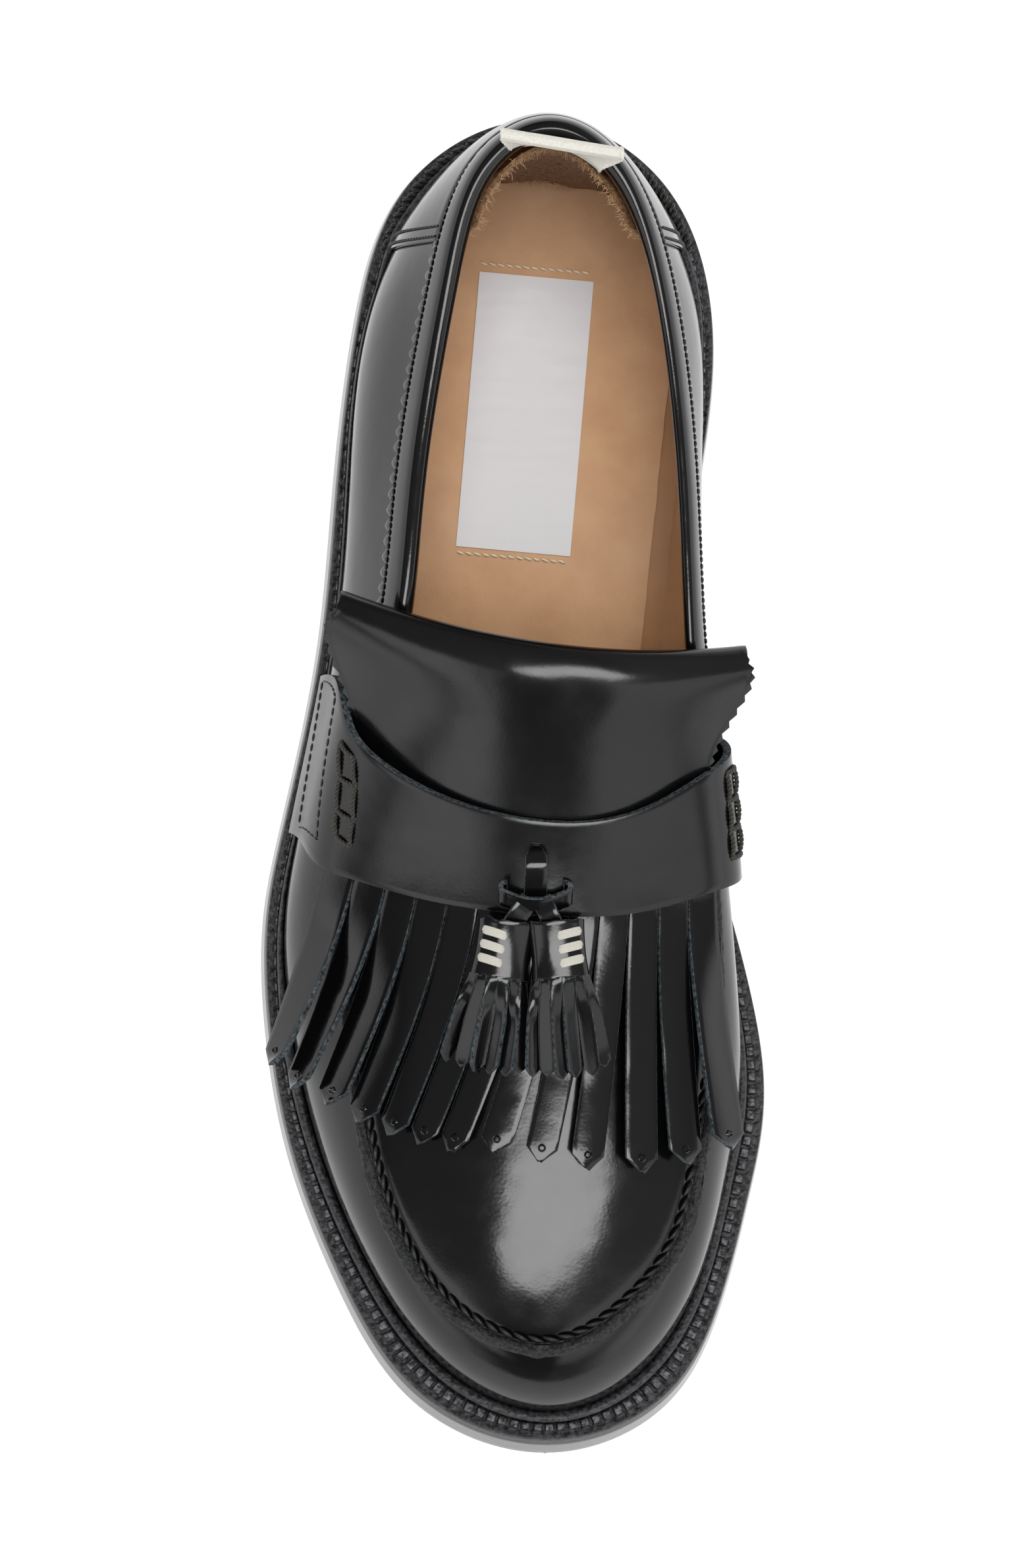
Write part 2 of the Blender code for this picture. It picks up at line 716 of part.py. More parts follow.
def make_binding():
    """Folded binding that wraps the collar's rim, deeper outside than inside."""
    turns = full_turns(HALF_STEPS)
    ends = [turn_at(BINDING_END), turn_at(BINDING_END, inner=True)]
    around = [t - 1 for t in turns if t > ends[1]] + [t for t in turns if t < ends[0]]
    around = np.array([ends[1] - 1] + around + [ends[0]])
    reach = np.linalg.norm(wall(around, 1.0) - wall(around, 0.0), axis=1)
    normal = wall_normal(around, 1.0)
    rim = wall(around, 1.0)
    rise = unit(rim - wall(around, 0.9))
    inside = UPPER_WALL + 2 * GAP

    def flange(drop, away):
        share = 1 - drop / reach
        return wall(around, share) + wall_normal(around, share) * np.reshape(away, (-1, 1))

    def over(above, away):
        return rim + rise * above + normal * away

    profile = [
        flange(BINDING_DROP, GAP),
        flange(BINDING_DROP, GAP + TRIM),
        flange(BINDING_DROP / 2, GAP + TRIM),
        flange(BINDING_SHOULDER, GAP + TRIM),
        over(BINDING_ROLL, ROLL_INSET),
        over(BINDING_ROLL, -UPPER_WALL - ROLL_INSET),
        flange(BINDING_SHOULDER, -inside - TRIM),
        flange(BINDING_INSIDE, -inside - TRIM),
        flange(BINDING_INSIDE, -inside),
        over(GAP, -inside),
        over(GAP, GAP),
        flange(BINDING_DROP / 2, GAP),
    ]
    skin = Skin()
    skin.loft(np.stack(profile, axis=1))
    return skin.make("collar_binding", "polished_leather")


def kiltie_height(out, at, lift, flare, reach=BODY_REACH):
    """Height of the kiltie's underside over the apron, straight past the drape's reach."""
    height, arch, centre = ridge_values(at)
    side = np.abs(out - centre)
    bent = np.minimum(side, reach)
    slope = 2 * arch * reach
    return height - arch * bent ** 2 - slope * (side - bent) + lift + flare * side ** 2


def kiltie_rows():
    """Rows of the kiltie's underside from the roll to the fringe's root, across its strips."""
    names = KiltieRow._fields[1:]
    table = np.stack([column(KILTIE, name) for name in names], axis=1)
    knots = np.arange(len(KILTIE))
    count = len(TIPS)
    share = np.linspace(0, 1, count + 1)
    rows = []
    for knot in np.linspace(0, knots[-1], KILTIE_ROWS):
        outer_at, outer_out, middle_at, inner_at, inner_out, lift, flare = cubic(knots, table, knot)
        out = outer_out * (1 - share) + inner_out * share
        bow = middle_at - (outer_at + inner_at) / 2
        at = outer_at * (1 - share) + inner_at * share + bow * 4 * share * (1 - share)
        rows.append(np.column_stack([out, at, kiltie_height(out, at, lift, flare)]))
    return rows


def roll_rows(first):
    """Rows of the roll at the kiltie's top and of the layer folded under it, lowest first."""
    rows = []
    for share in (1.0, 0.5):
        under = first + (0.0, UNDERLAY * share, -2 * ROLL_RADIUS - UNDERLAY_SINK * share)
        under[:, 0] *= 1 - UNDERLAY_TAPER * share
        rows.append(under)
    for angle in np.linspace(np.pi, 0, ROLL_STEPS, endpoint=False):
        turn = (0.0, -ROLL_RADIUS * np.sin(angle), ROLL_RADIUS * (np.cos(angle) - 1))
        rows.append(first + turn)
    return rows


def strip_rows(left, right, tip, width):
    """Rows of one fringe strip after its root, and its point."""
    root = (left + right) / 2
    along = unit(np.array([tip.out - root[0], tip.at - root[1]]))
    side = np.array([along[1], -along[0]])
    if side[0] < 0:
        side = -side
    end = np.array([tip.out, tip.at])
    rows = []
    for share in np.linspace(0, 1, STRIP_STEPS + 1)[1:]:
        pair = []
        for corner, sign in ((left, -1), (right, 1)):
            target = end - along * STRIP_POINT + side * sign * width / 2
            pair.append(corner[:2] * (1 - share) + target * share)
        rows.append(np.array(pair))
    rows.append(np.array([end]))
    lifted = []
    for step, plan in enumerate(rows, start=1):
        share = min(step / STRIP_STEPS, 1)
        near_lip = smooth(np.abs(plan[:, 0]), *LIP_REACH) * FRINGE_LIP_CLEAR
        free = smooth(share, 0, FREE_SHARE)
        lift = KILTIE[-1].lift + (near_lip + tip.rise) * free
        reach = BODY_REACH * (1 - free) + STRIP_REACH * free
        lifted.append(np.column_stack([plan, kiltie_height(plan[:, 0], plan[:, 1], lift, 0.0, reach)]))
    return lifted


def make_kiltie():
    """Folded tongue and its fringe, one leather sheet with slits."""
    skin = Skin()
    body = kiltie_rows()
    rows = [skin.row(points) for points in roll_rows(body[0]) + body]
    for near, far in zip(rows, rows[1:]):
        skin.band(near, far)
    root = rows[-1]
    outs = column(TIPS, "out")
    for i, tip in enumerate(TIPS):
        room = np.abs(outs - tip.out)
        width = min(STRIP_WIDTH, STRIP_ROOM * np.min(room[room > 0]))
        *pairs, point = strip_rows(body[-1][i], body[-1][i + 1], tip, width)
        last = [root[i], root[i + 1]]
        for pair in pairs:
            numbers = skin.row(pair)
            skin.band(last, numbers)
            last = numbers
        skin.fan(last, skin.row(point)[0])
    kiltie = skin.make("kiltie", "polished_leather")
    face_up(kiltie)
    solidify(kiltie, TRIM, 1)
    return kiltie


def face_up(piece):
    """Turn an open sheet so that most of it faces up."""
    mesh = piece.data
    rise = sum(face.normal.z * face.area for face in mesh.polygons)
    if rise < 0:
        mesh.flip_normals()


def strap_point(across, at, lift):
    """Point over the upper: outer wall for the first part of the way, then apron, then inner wall."""
    outer = turn_at(at)
    inner = turn_at(at, inner=True)
    if min(across, 1 - across) < STRAP_SIDE:
        turn = outer if across < STRAP_SIDE else inner
        climb = min(across, 1 - across) / STRAP_SIDE
        share = STRAP_FOOT + (1 - STRAP_FOOT) * climb
        return wall(turn, share) + wall_normal(turn, share) * lift
    share = (across - STRAP_SIDE) / (1 - 2 * STRAP_SIDE)
    ends = wall(np.array([outer, inner]), 1.0)
    line = ends[0] * (1 - share) + ends[1] * share
    rise = [end[2] - apron(end[0], end[1]) for end in ends]
    height, arch, centre = ridge_values(line[1])
    slope = 2 * arch * (line[0] - centre)
    line[2] = height - arch * (line[0] - centre) ** 2 + rise[0] * (1 - share) + rise[1] * share
    return line + unit(np.array([slope, 0.0, 1.0])) * lift


def make_strap():
    """Strap over the instep, wide at both ends where it runs down to the welt."""
    table = np.stack([column(STRAP, name) for name in StrapRow._fields[1:]], axis=1)
    rings = []
    for across in np.linspace(0, 1, STRAP_RINGS + 1):
        back, front, lift = cubic(column(STRAP, "across"), table, np.array(across))
        ring = []
        for share in STRAP_ACROSS:
            ring.append(strap_point(across, back * (1 - share) + front * share, lift))
        for share in STRAP_ACROSS[::-1]:
            ring.append(strap_point(across, back * (1 - share) + front * share, lift + STRAP_LEATHER))
        rings.append(ring)
    skin = Skin()
    skin.loft(rings)
    return skin.make("strap", "polished_leather")


def fringe_top(out, at):
    """Height just over the fringe, where the tassels lie."""
    return kiltie_height(out, at, KILTIE[-1].lift + FRINGE_RISE + TRIM + GAP, 0.0)


def strap_top(out, at):
    """Height just over the middle of the strap."""
    lift = STRAP[len(STRAP) // 2].lift
    return apron(out, at) + lift + STRAP_LEATHER + TIE_RISE


def bar(points, width, depth):
    """Rings of a flat bar through points given as out, station and height of its underside."""
    points = np.asarray(points, float)
    along = unit(np.gradient(points, axis=0))
    side = np.stack([along[:, 1], -along[:, 0], np.zeros(len(along))], axis=1)
    side = unit(side) * np.reshape(width, (-1, 1)) / 2
    up = np.array([0.0, 0.0, 1.0]) * np.reshape(depth, (-1, 1))
    corners = (points - side, points + side, points + side * 0.8 + up, points - side * 0.8 + up)
    return np.stack(corners, axis=1)


def fuse(name, pieces, finish):
    """Join overlapping closed pieces into one body."""
    base, *others = [skin.make(f"{name}_{i}", finish) for i, skin in enumerate(pieces)]
    base.name = name
    for other in others:
        PARTS.objects.unlink(other)
        CUTTERS.objects.link(other)
        other.hide_render = True
        other.display_type = "WIRE"
        union = base.modifiers.new("join", "BOOLEAN")
        union.operation = "UNION"
        union.solver = "EXACT"
        union.object = other
    return base


def tassel_head(tassel):
    """Rolled head of a tassel, round-shouldered at its top."""
    ahead = unit(np.array([tassel.hem_out - tassel.head_out, tassel.hem_at - tassel.head_at]))
    side = np.array([ahead[1], -ahead[0]])
    rings = []
    for row in HEAD_RINGS:
        middle = np.array([tassel.head_out, tassel.head_at]) + ahead * row.along
        base = fringe_top(middle[0], middle[1]) + (1 - row.size) * HEAD_DEPTH / 2
        ring = []
        for angle in np.linspace(0, 2 * np.pi, HEAD_SIDES, endpoint=False):
            plan = middle + side * np.cos(angle) * HEAD_WIDTH / 2 * row.size
            lift = HEAD_DEPTH / 2 * row.size * (1 + np.sin(angle)) + HEAD_RAISE
            ring.append((plan[0], plan[1], base + lift))
        rings.append(ring)
    skin = Skin()
    skin.loft(rings)
    return skin


def tassel_strip(tassel, number):
    """One strip of a tassel's skirt, from inside the head to the hem."""
    spread = (number + 0.5) / SKIRT_STRIPS * 2 - 1
    ahead = unit(np.array([tassel.hem_out - tassel.head_out, tassel.hem_at - tassel.head_at]))
    side = np.array([ahead[1], -ahead[0]])
    root = np.array([tassel.head_out, tassel.head_at]) + ahead * (HEAD_LENGTH - SKIRT_INSIDE)
    root = root + side * spread * HEAD_WIDTH * SKIRT_ROOT
    hem = np.array([tassel.hem_out, tassel.hem_at]) + side * spread * tassel.hem_width / 2
    hem = hem - ahead * HEM_CURVE * spread ** 2
    layer = SKIRT_LAYER * (1 + number % 2)
    points = []
    for share in np.linspace(0, 1, SKIRT_STEPS):
        plan = root * (1 - share) + hem * share
        height = fringe_top(plan[0], plan[1]) + layer * (1 - 0.3 * share) + 0.5 * (1 - share)
        points.append((plan[0], plan[1], height))
    skin = Skin()
    skin.loft(bar(points, np.linspace(*SKIRT_WIDTHS, SKIRT_STEPS), np.full(SKIRT_STEPS, SKIRT_DEPTH)))
    return skin


def make_tassel(tassel):
    """Tassel with its skirt strips fused into the head."""
    pieces = [tassel_head(tassel)]
    pieces += [tassel_strip(tassel, number) for number in range(SKIRT_STRIPS)]
    return fuse(tassel.name, pieces, "polished_leather")


def make_tie():
    """Bow on the strap, its loop behind it and two thongs down to the tassels."""
    bow = Skin()
    points = []
    shares = np.linspace(-1, 1, BOW_STEPS)
    for share in shares:
        out = TIE_OUT + share * BOW_WIDTH / 2
        points.append((out, TIE_STATION - BOW_BEND * share ** 2, strap_top(out, TIE_STATION)))
    girth = np.sqrt(1 - BOW_TAPER * shares ** 2)
    bow.loft(bar(points, BOW_LENGTH * girth, BOW_DEPTH * girth))
    pieces = [bow]
    base = strap_top(TIE_OUT, TIE_LOOP[0].at)
    loop = [(TIE_OUT, row.at, base + row.rise) for row in TIE_LOOP]
    pieces.append(Skin())
    pieces[-1].loft(bar(loop, np.full(len(loop), LOOP_WIDTH), np.full(len(loop), THONG_DEPTH)))
    for tassel, start in zip(TASSELS, (-THONG_APART / 2, THONG_APART / 2)):
        ahead = unit(np.array([tassel.hem_out - tassel.head_out, tassel.hem_at - tassel.head_at]))
        end = np.array([tassel.head_out, tassel.head_at]) - ahead * GAP * 2
        drop = fringe_top(end[0], end[1]) + HEAD_DEPTH * 0.3
        leg = []
        for share in np.linspace(0, 1, THONG_STEPS):
            out = (TIE_OUT + start) * (1 - share) + end[0] * share
            at = (TIE_STATION + 0.5) * (1 - share) + end[1] * share
            height = (strap_top(out, TIE_STATION) + 1.0) * (1 - share) + drop * share
            leg.append((out, at, max(height, strap_top(out, at)) if share < 0.8 else height))
        pieces.append(Skin())
        pieces[-1].loft(bar(leg, np.full(THONG_STEPS, THONG_WIDTH), np.full(THONG_STEPS, THONG_DEPTH)))
    return fuse("tassel_tie", pieces, "polished_leather")


def ribbon_ring(out, rim_at, rim_height):
    """Closed section of the ribbon loop: two legs inside the rim and a fold that leans over it."""
    fold = RIBBON_AT + RIBBON_TWIST * out
    line = [
        (rim_at, RIBBON_FOOT),
        (rim_at, rim_height),
        (fold - RIBBON_OPEN / 2, RIBBON_TOP - RIBBON_FOLD),
        (fold, RIBBON_TOP),
        (fold + RIBBON_OPEN / 2, RIBBON_TOP - RIBBON_FOLD),
        (rim_at + LEGS_APART, rim_height),
        (rim_at + LEGS_APART, RIBBON_FOOT),
    ]
    line = np.array(line)
    along = unit(np.gradient(line, axis=0))
    side = np.stack([-along[:, 1], along[:, 0]], axis=1) * RIBBON / 2
    section = np.vstack([line + side, (line - side)[::-1]])
    return np.column_stack([np.full(len(section), out), section])


def make_pull_loop():
    """Ribbon loop sewn inside the back of the collar, its fold just over the rim."""
    turns = np.linspace(-RIBBON_TURNS, RIBBON_TURNS, 60)
    clear = UPPER_WALL + 3 * GAP + TRIM + RIBBON / 2
    inner = wall(turns, 1.0) - wall_normal(turns, 1.0) * clear
    order = np.argsort(inner[:, 0])
    rings = []
    for share in np.linspace(-1, 1, RIBBON_STEPS):
        out = share * RIBBON_WIDTH / 2 + RIBBON_OUT
        at = np.interp(out, inner[order, 0], inner[order, 1])
        height = np.interp(out, inner[order, 0], inner[order, 2]) + BINDING_ROLL + RIM_CLEAR
        rings.append(ribbon_ring(out, at, height))
    skin = Skin()
    skin.loft(rings)
    return skin.make("pull_loop", "ribbon")


def make_material(name, finish):
    """Principled material with the colour and roughness of a finish."""
    material = bpy.data.materials.new(name)
    material.use_nodes = True
    shader = material.node_tree.nodes["Principled BSDF"]
    shader.inputs["Base Color"].default_value = (*finish.colour, 1.0)
    shader.inputs["Roughness"].default_value = finish.roughness
    shader.inputs["Metallic"].default_value = 0.0
    material.diffuse_color = (*finish.colour, 1.0)
    return material


for leftover in list(bpy.data.objects):
    bpy.data.objects.remove(leftover, do_unlink=True)
PARTS = bpy.data.collections.new("tassel_loafer")
CUTTERS = bpy.data.collections.new("joining_pieces")
for group in (PARTS, CUTTERS):
    bpy.context.scene.collection.children.link(group)
MATERIALS = {name: make_material(name, finish) for name, finish in FINISHES.items()}

make_heel()
make_outsole()
make_welt()
make_insole()
make_label()
make_upper()
make_counter()
make_binding()
make_kiltie()
make_strap()
make_tie()
for each in TASSELS:
    make_tassel(each)
make_pull_loop()
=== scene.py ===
# %% [markdown]
# # A kiltie loafer with two tassels
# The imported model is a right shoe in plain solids. This lesson dresses it: every visible surface is made
# again finely, in the same place, from the same last, and gets a finish of its own. We start by loading the
# frame and keeping its box, because the dressed shoe may not grow past it.

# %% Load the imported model
from collections import namedtuple

import bpy
import numpy as np
from mathutils import Matrix, Vector

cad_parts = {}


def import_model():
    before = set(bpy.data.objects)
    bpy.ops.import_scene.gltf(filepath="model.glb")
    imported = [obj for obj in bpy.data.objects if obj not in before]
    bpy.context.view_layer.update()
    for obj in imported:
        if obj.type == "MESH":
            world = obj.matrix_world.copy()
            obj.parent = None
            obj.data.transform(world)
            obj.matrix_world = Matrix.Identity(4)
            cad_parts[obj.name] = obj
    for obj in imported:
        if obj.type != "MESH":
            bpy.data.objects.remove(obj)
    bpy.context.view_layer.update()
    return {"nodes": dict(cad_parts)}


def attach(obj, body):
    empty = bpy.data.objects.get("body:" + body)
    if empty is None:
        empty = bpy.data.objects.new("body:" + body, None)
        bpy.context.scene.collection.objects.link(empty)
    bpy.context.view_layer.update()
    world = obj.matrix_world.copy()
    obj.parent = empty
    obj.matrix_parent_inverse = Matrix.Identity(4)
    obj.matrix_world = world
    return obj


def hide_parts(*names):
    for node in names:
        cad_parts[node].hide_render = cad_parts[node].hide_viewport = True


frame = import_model()
MM = 0.001
print("nodes:", ", ".join(sorted(frame["nodes"])))

# %% [markdown]
# ## The last
# A shoe is built on a last, the wooden foot that gives it its shape. Ours is a table: one row for each place
# around the foot, with the sole's outline, the welt's width, and the collar or apron seam above it. A
# station is the distance forward from the back of the sole, "out" is the distance to the inner side of the
# foot, and height is measured from the floor, all in millimetres. The table gives stations, outs and rises in
# hundredths of the length, the ball's width and the back's height, so that those sizes drive it. A smooth
# curve through the rows then gives any point we need.

# %% Tables of the last
LENGTH = 298.4
BALL_WIDTH = 112.3
HEEL_LIFT = 20.0
OUTSOLE = 9.0
BACK_HEIGHT = 91.0
INSTEP_HEIGHT = 69.0
GAP = 0.35
ORIGIN_STATION = 38.0
HEEL_BREAST = 78.0
BREAST_HOLLOW = 3.0
TREAD_START = 183.0
TREAD_END = 216.0
TOE_SPRING = 11.5
EDGE_LEAN = 0.08
TOE_LEAN = 0.5
FOOT_PULL = 0.42
TOP_PULL = 0.36
THROAT = 142.0

Place = namedtuple("Place", "name sole_at sole_out welt top_at top_out rise lean swell")

HEEL_BACK = Place("heel back", 0.0, -0.4, 4.8, 3.5, -0.5, 100.0, 16, 0.0)
TOE = Place("toe", 100.0, 1.6, 9.1, 92.2, 0.9, None, 64, 2.0)
OUTER = (
    Place("heel corner", 5.0, -26.9, 6.4, 7.0, -14.8, 97.8, 16, -0.4),
    Place("heel side", 15.1, -37.0, 5.4, 15.1, -21.2, 90.0, 18, 7.0),
    Place("heel breast", 28.5, -41.4, 5.8, 28.5, -26.9, 82.5, 20, 7.5),
    Place("waist", 40.2, -44.4, 6.0, 40.2, -30.0, 76.5, 26, 6.5),
    Place("joint", 53.6, -51.7, 6.2, 53.3, -36.8, None, 42, 5.0),
    Place("ball", 64.7, -54.8, 6.2, 64.7, -38.3, None, 46, 4.0),
    Place("vamp", 76.4, -50.4, 7.5, 75.9, -35.0, None, 48, 2.5),
    Place("toe side", 87.1, -40.1, 8.75, 84.0, -28.5, None, 52, 2.0),
    Place("toe corner", 95.8, -25.6, 9.95, 89.6, -17.4, None, 58, 1.5),
)
INNER = (
    Place("heel corner", 5.0, 25.4, 6.4, 7.0, 13.8, 97.8, 16, -1.0),
    Place("heel side", 15.1, 34.9, 5.8, 15.1, 21.8, 90.0, 18, 3.0),
    Place("heel breast", 28.5, 31.9, 4.4, 28.5, 26.6, 82.5, 18, 5.5),
    Place("waist", 40.2, 29.0, 4.2, 40.2, 28.3, 77.0, 20, 7.5),
    Place("joint", 53.6, 35.2, 6.8, 53.3, 31.3, None, 36, 2.6),
    Place("ball", 71.0, 46.0, 8.35, 69.0, 33.4, None, 42, 2.0),
    Place("vamp", 80.4, 43.2, 8.65, 77.7, 30.6, None, 46, 2.0),
    Place("toe side", 88.8, 37.2, 8.6, 84.6, 26.0, None, 52, 1.6),
    Place("toe corner", 96.1, 26.6, 9.65, 89.3, 16.2, None, 58, 1.5),
)
Ridge = namedtuple("Ridge", "at height arch centre")

RIDGE = (
    Ridge(100, 135.0, 0.0115, 4.0),
    Ridge(124, 119.5, 0.0115, 4.0),
    Ridge(142, 109.5, 0.0110, 3.5),
    Ridge(160, 100.0, 0.0100, 3.0),
    Ridge(180, 91.0, 0.0092, 2.0),
    Ridge(200, 84.5, 0.0084, 1.0),
    Ridge(220, 80.3, 0.0075, 0.6),
    Ridge(240, 76.3, 0.0070, 0.5),
    Ridge(260, 70.8, 0.0078, 0.8),
    Ridge(276, 64.3, 0.0085, 1.0),
    Ridge(300, 50.0, 0.0085, 1.0),
)
print("places around the foot:", 2 + len(OUTER) + len(INNER))


# %% Curves through the tables
def cubic(knots, values, at):
    """Natural cubic spline through the rows of values."""
    knots, values, at = (np.asarray(each, float) for each in (knots, values, at))
    step = np.diff(knots)
    count = len(knots)
    system = np.eye(count)
    right = np.zeros_like(values)
    for i in range(1, count - 1):
        system[i, i - 1:i + 2] = step[i - 1], 2 * (step[i - 1] + step[i]), step[i]
        right[i] = 6 * ((values[i + 1] - values[i]) / step[i] - (values[i] - values[i - 1]) / step[i - 1])
    bend = np.linalg.solve(system, right)
    i = np.clip(np.searchsorted(knots, at) - 1, 0, count - 2)
    width = step[i]
    near = (knots[i + 1] - at) / width
    far = 1 - near
    if values.ndim > 1:
        near, far, width = near[..., None], far[..., None], width[..., None]
    cubes = (near ** 3 - near) * bend[i] + (far ** 3 - far) * bend[i + 1]
    return near * values[i] + far * values[i + 1] + cubes * width ** 2 / 6


def smooth(value, start, end):
    """Soft step from 0 at start to 1 at end."""
    share = np.clip((np.asarray(value, float) - start) / (end - start), 0, 1)
    return share * share * (3 - 2 * share)


def column(rows, name):
    """One named column of a table."""
    return np.array([getattr(row, name) for row in rows], float)


def unit(vectors):
    """Vectors scaled to length one."""
    return vectors / np.linalg.norm(vectors, axis=-1, keepdims=True)


def mixed(first, last, share):
    """Straight mix of two points or arrays."""
    return first * (1 - share) + last * share


def world(points):
    """Blender coordinates, in metres, of points given as out, station and height."""
    points = np.asarray(points, float)
    return np.stack([points[..., 0], ORIGIN_STATION - points[..., 1], points[..., 2]], axis=-1) * MM


# %% Sole and apron of the last
def sole_bottom(at):
    """Height of the outsole's underside: heel seat, arch, flat tread and toe spring."""
    arch = HEEL_LIFT * (1 - smooth(at, HEEL_BREAST, TREAD_START))
    spring = np.clip((np.asarray(at, float) - TREAD_END) / (LENGTH - TREAD_END), 0, None)
    return arch + TOE_SPRING * spring ** 2


def sole_top(at):
    """Height of the outsole's upper side."""
    return sole_bottom(at) + OUTSOLE


def over_sole(plan, above):
    """Points of a plan at a height above the outsole's upper side."""
    return np.column_stack([plan, sole_top(plan[:, 1]) + above])


def toe_slope(at):
    """Slope of the sole where it springs up at the toe."""
    run = LENGTH - TREAD_END
    return 2 * TOE_SPRING * np.clip(np.asarray(at, float) - TREAD_END, 0, None) / run ** 2


def ridge_values(at):
    """Ridge height, arch and centre of the apron at a station."""
    table = np.stack([column(RIDGE, "height"), column(RIDGE, "arch"), column(RIDGE, "centre")], axis=1)
    values = cubic(column(RIDGE, "at"), table, at)
    return values[..., 0] * INSTEP_HEIGHT / 100, values[..., 1], values[..., 2]


def apron(out, at):
    """Height of the apron's surface, also past its seam."""
    height, arch, centre = ridge_values(at)
    return height - arch * (out - centre) ** 2


print("apron over the ball:", apron(0.0, 200.0).round(1), "mm high")


# %% Rows around the foot
def perimeter_table():
    """Rows around the foot, heel back to toe and back, with their knots."""
    loop = (HEEL_BACK,) + OUTER + (TOE,) + INNER[::-1]
    sole_at, sole_out = column(loop, "sole_at") * LENGTH / 100, column(loop, "sole_out") * BALL_WIDTH / 100
    top_at, top_out = column(loop, "top_at") * LENGTH / 100, column(loop, "top_out") * BALL_WIDTH / 100
    height = apron(top_out, top_at)
    for i, place in enumerate(loop):
        if place.rise is not None:
            height[i] = place.rise * BACK_HEIGHT / 100
    extra = [column(loop, name) for name in ("welt", "lean", "swell")]
    table = np.stack([sole_out, sole_at, top_out, top_at, height] + extra, axis=1)
    chord = np.hypot(np.diff(sole_out, append=sole_out[0]), np.diff(sole_at, append=sole_at[0]))
    half = len(loop) // 2
    chord[:half] = (chord[:half] + chord[half:][::-1]) / 2
    chord[half:] = chord[:half][::-1]
    knots = np.concatenate([[0], np.cumsum(chord)])
    return knots / knots[-1], np.vstack([table, table[:1]])


KNOTS, PERIMETER = perimeter_table()
WRAP = 4
LONG_KNOTS = np.concatenate([KNOTS[-WRAP - 1:-1] - 1, KNOTS, KNOTS[1:WRAP + 1] + 1])
LONG_TABLE = np.vstack([PERIMETER[-WRAP - 1:-1], PERIMETER, PERIMETER[1:WRAP + 1]])


def perimeter(turn):
    """Columns of the perimeter table at turns 0 to 1: outer side first, then back along the inner."""
    return cubic(LONG_KNOTS, LONG_TABLE, np.mod(turn, 1.0))


print("widest outs of the sole:", PERIMETER[:, 0].min().round(1), PERIMETER[:, 0].max().round(1))


# %% Edge, feather line and wall
def sole_edge(turn):
    """Out and station of the sole's outline."""
    return perimeter(turn)[..., :2]


def outward(turn):
    """Unit plan vector that points out of the sole's outline."""
    small = 1e-4
    along = sole_edge(turn + small) - sole_edge(turn - small)
    return unit(np.stack([-along[..., 1], along[..., 0]], axis=-1))


def leaning_edge(turn, above):
    """Sole's outline at a height above its underside: the edge leans in, and back at the toe."""
    plan = sole_edge(turn) - outward(turn) * EDGE_LEAN * above
    plan[..., 1] -= TOE_LEAN * above * toe_slope(plan[..., 1])
    return plan


def feather(turn):
    """Where the upper's outside meets the outsole."""
    plan = sole_edge(turn) - outward(turn) * perimeter(turn)[..., 5:6]
    return np.concatenate([plan, sole_top(plan[..., 1:2]) + GAP], axis=-1)


def wall(turn, share):
    """Upper's outside from the feather line at share 0 to the collar or apron seam at share 1."""
    turn, share = np.broadcast_arrays(np.asarray(turn, float), np.asarray(share, float))
    row = perimeter(turn)
    foot, top = feather(turn), row[..., 2:5]
    out = np.concatenate([outward(turn), np.zeros(turn.shape + (1,))], axis=-1)
    up = np.zeros_like(out)
    up[..., 2] = 1
    reach = np.linalg.norm(top - foot, axis=-1, keepdims=True)
    lean = np.radians(row[..., 6:7])
    first = foot + out * row[..., 7:8] + up * reach * FOOT_PULL
    last = top + (out * np.sin(lean) - up * np.cos(lean)) * reach * TOP_PULL
    s = share[..., None]
    return (1 - s) ** 3 * foot + 3 * s * (1 - s) ** 2 * first + 3 * s ** 2 * (1 - s) * last + s ** 3 * top


def wall_normal(turn, share):
    """Outward normal of the upper's wall."""
    small = 1e-3
    turn, share = np.broadcast_arrays(np.asarray(turn, float), np.asarray(share, float))
    low, high = np.clip(share - small, 0, 1), np.clip(share + small, 0, 1)
    around = wall(turn + small, share) - wall(turn - small, share)
    upward = wall(turn, high) - wall(turn, low)
    return unit(np.cross(upward, around))


def wall_reach(turn):
    """Straight distance from the feather line to the collar or apron seam."""
    return np.linalg.norm(wall(turn, 1.0) - wall(turn, 0.0), axis=-1)


HALF_TURNS = np.linspace(0.02, 0.48, 400)
OUTER_TOPS = perimeter(HALF_TURNS)[:, 3]
INNER_TOPS = perimeter(1 - HALF_TURNS)[:, 3]


def turn_at(station, inner=False):
    """Turn whose collar or seam point lies at a station."""
    if inner:
        return 1 - np.interp(station, INNER_TOPS, HALF_TURNS)
    return np.interp(station, OUTER_TOPS, HALF_TURNS)


print("wall at the toe:", wall(0.5, 0.0).round(1), wall(0.5, 1.0).round(1))

# %% [markdown]
# ## Tools of the bench
# Almost every piece is a sheet of leather. By hand one would add a grid and pull it over the last with a
# shrinkwrap; here the grid primitive's points are moved straight onto a table of points from the last, which
# is exact and leaves even faces. Solidify then gives the leather its thickness, and the cut rim with its
# bevelled corners gets a material of its own. Threads are curves with a round bevel, converted to meshes.


# %% Selecting and turning faces
def only(piece):
    """Deselect everything but one piece."""
    bpy.ops.object.select_all(action="DESELECT")
    piece.select_set(True)
    bpy.context.view_layer.objects.active = piece


def edit_all(piece, operator, **settings):
    """Run one mesh operator on all of a piece in edit mode."""
    only(piece)
    bpy.ops.object.mode_set(mode="EDIT")
    bpy.ops.mesh.select_all(action="SELECT")
    operator(**settings)
    bpy.ops.object.mode_set(mode="OBJECT")


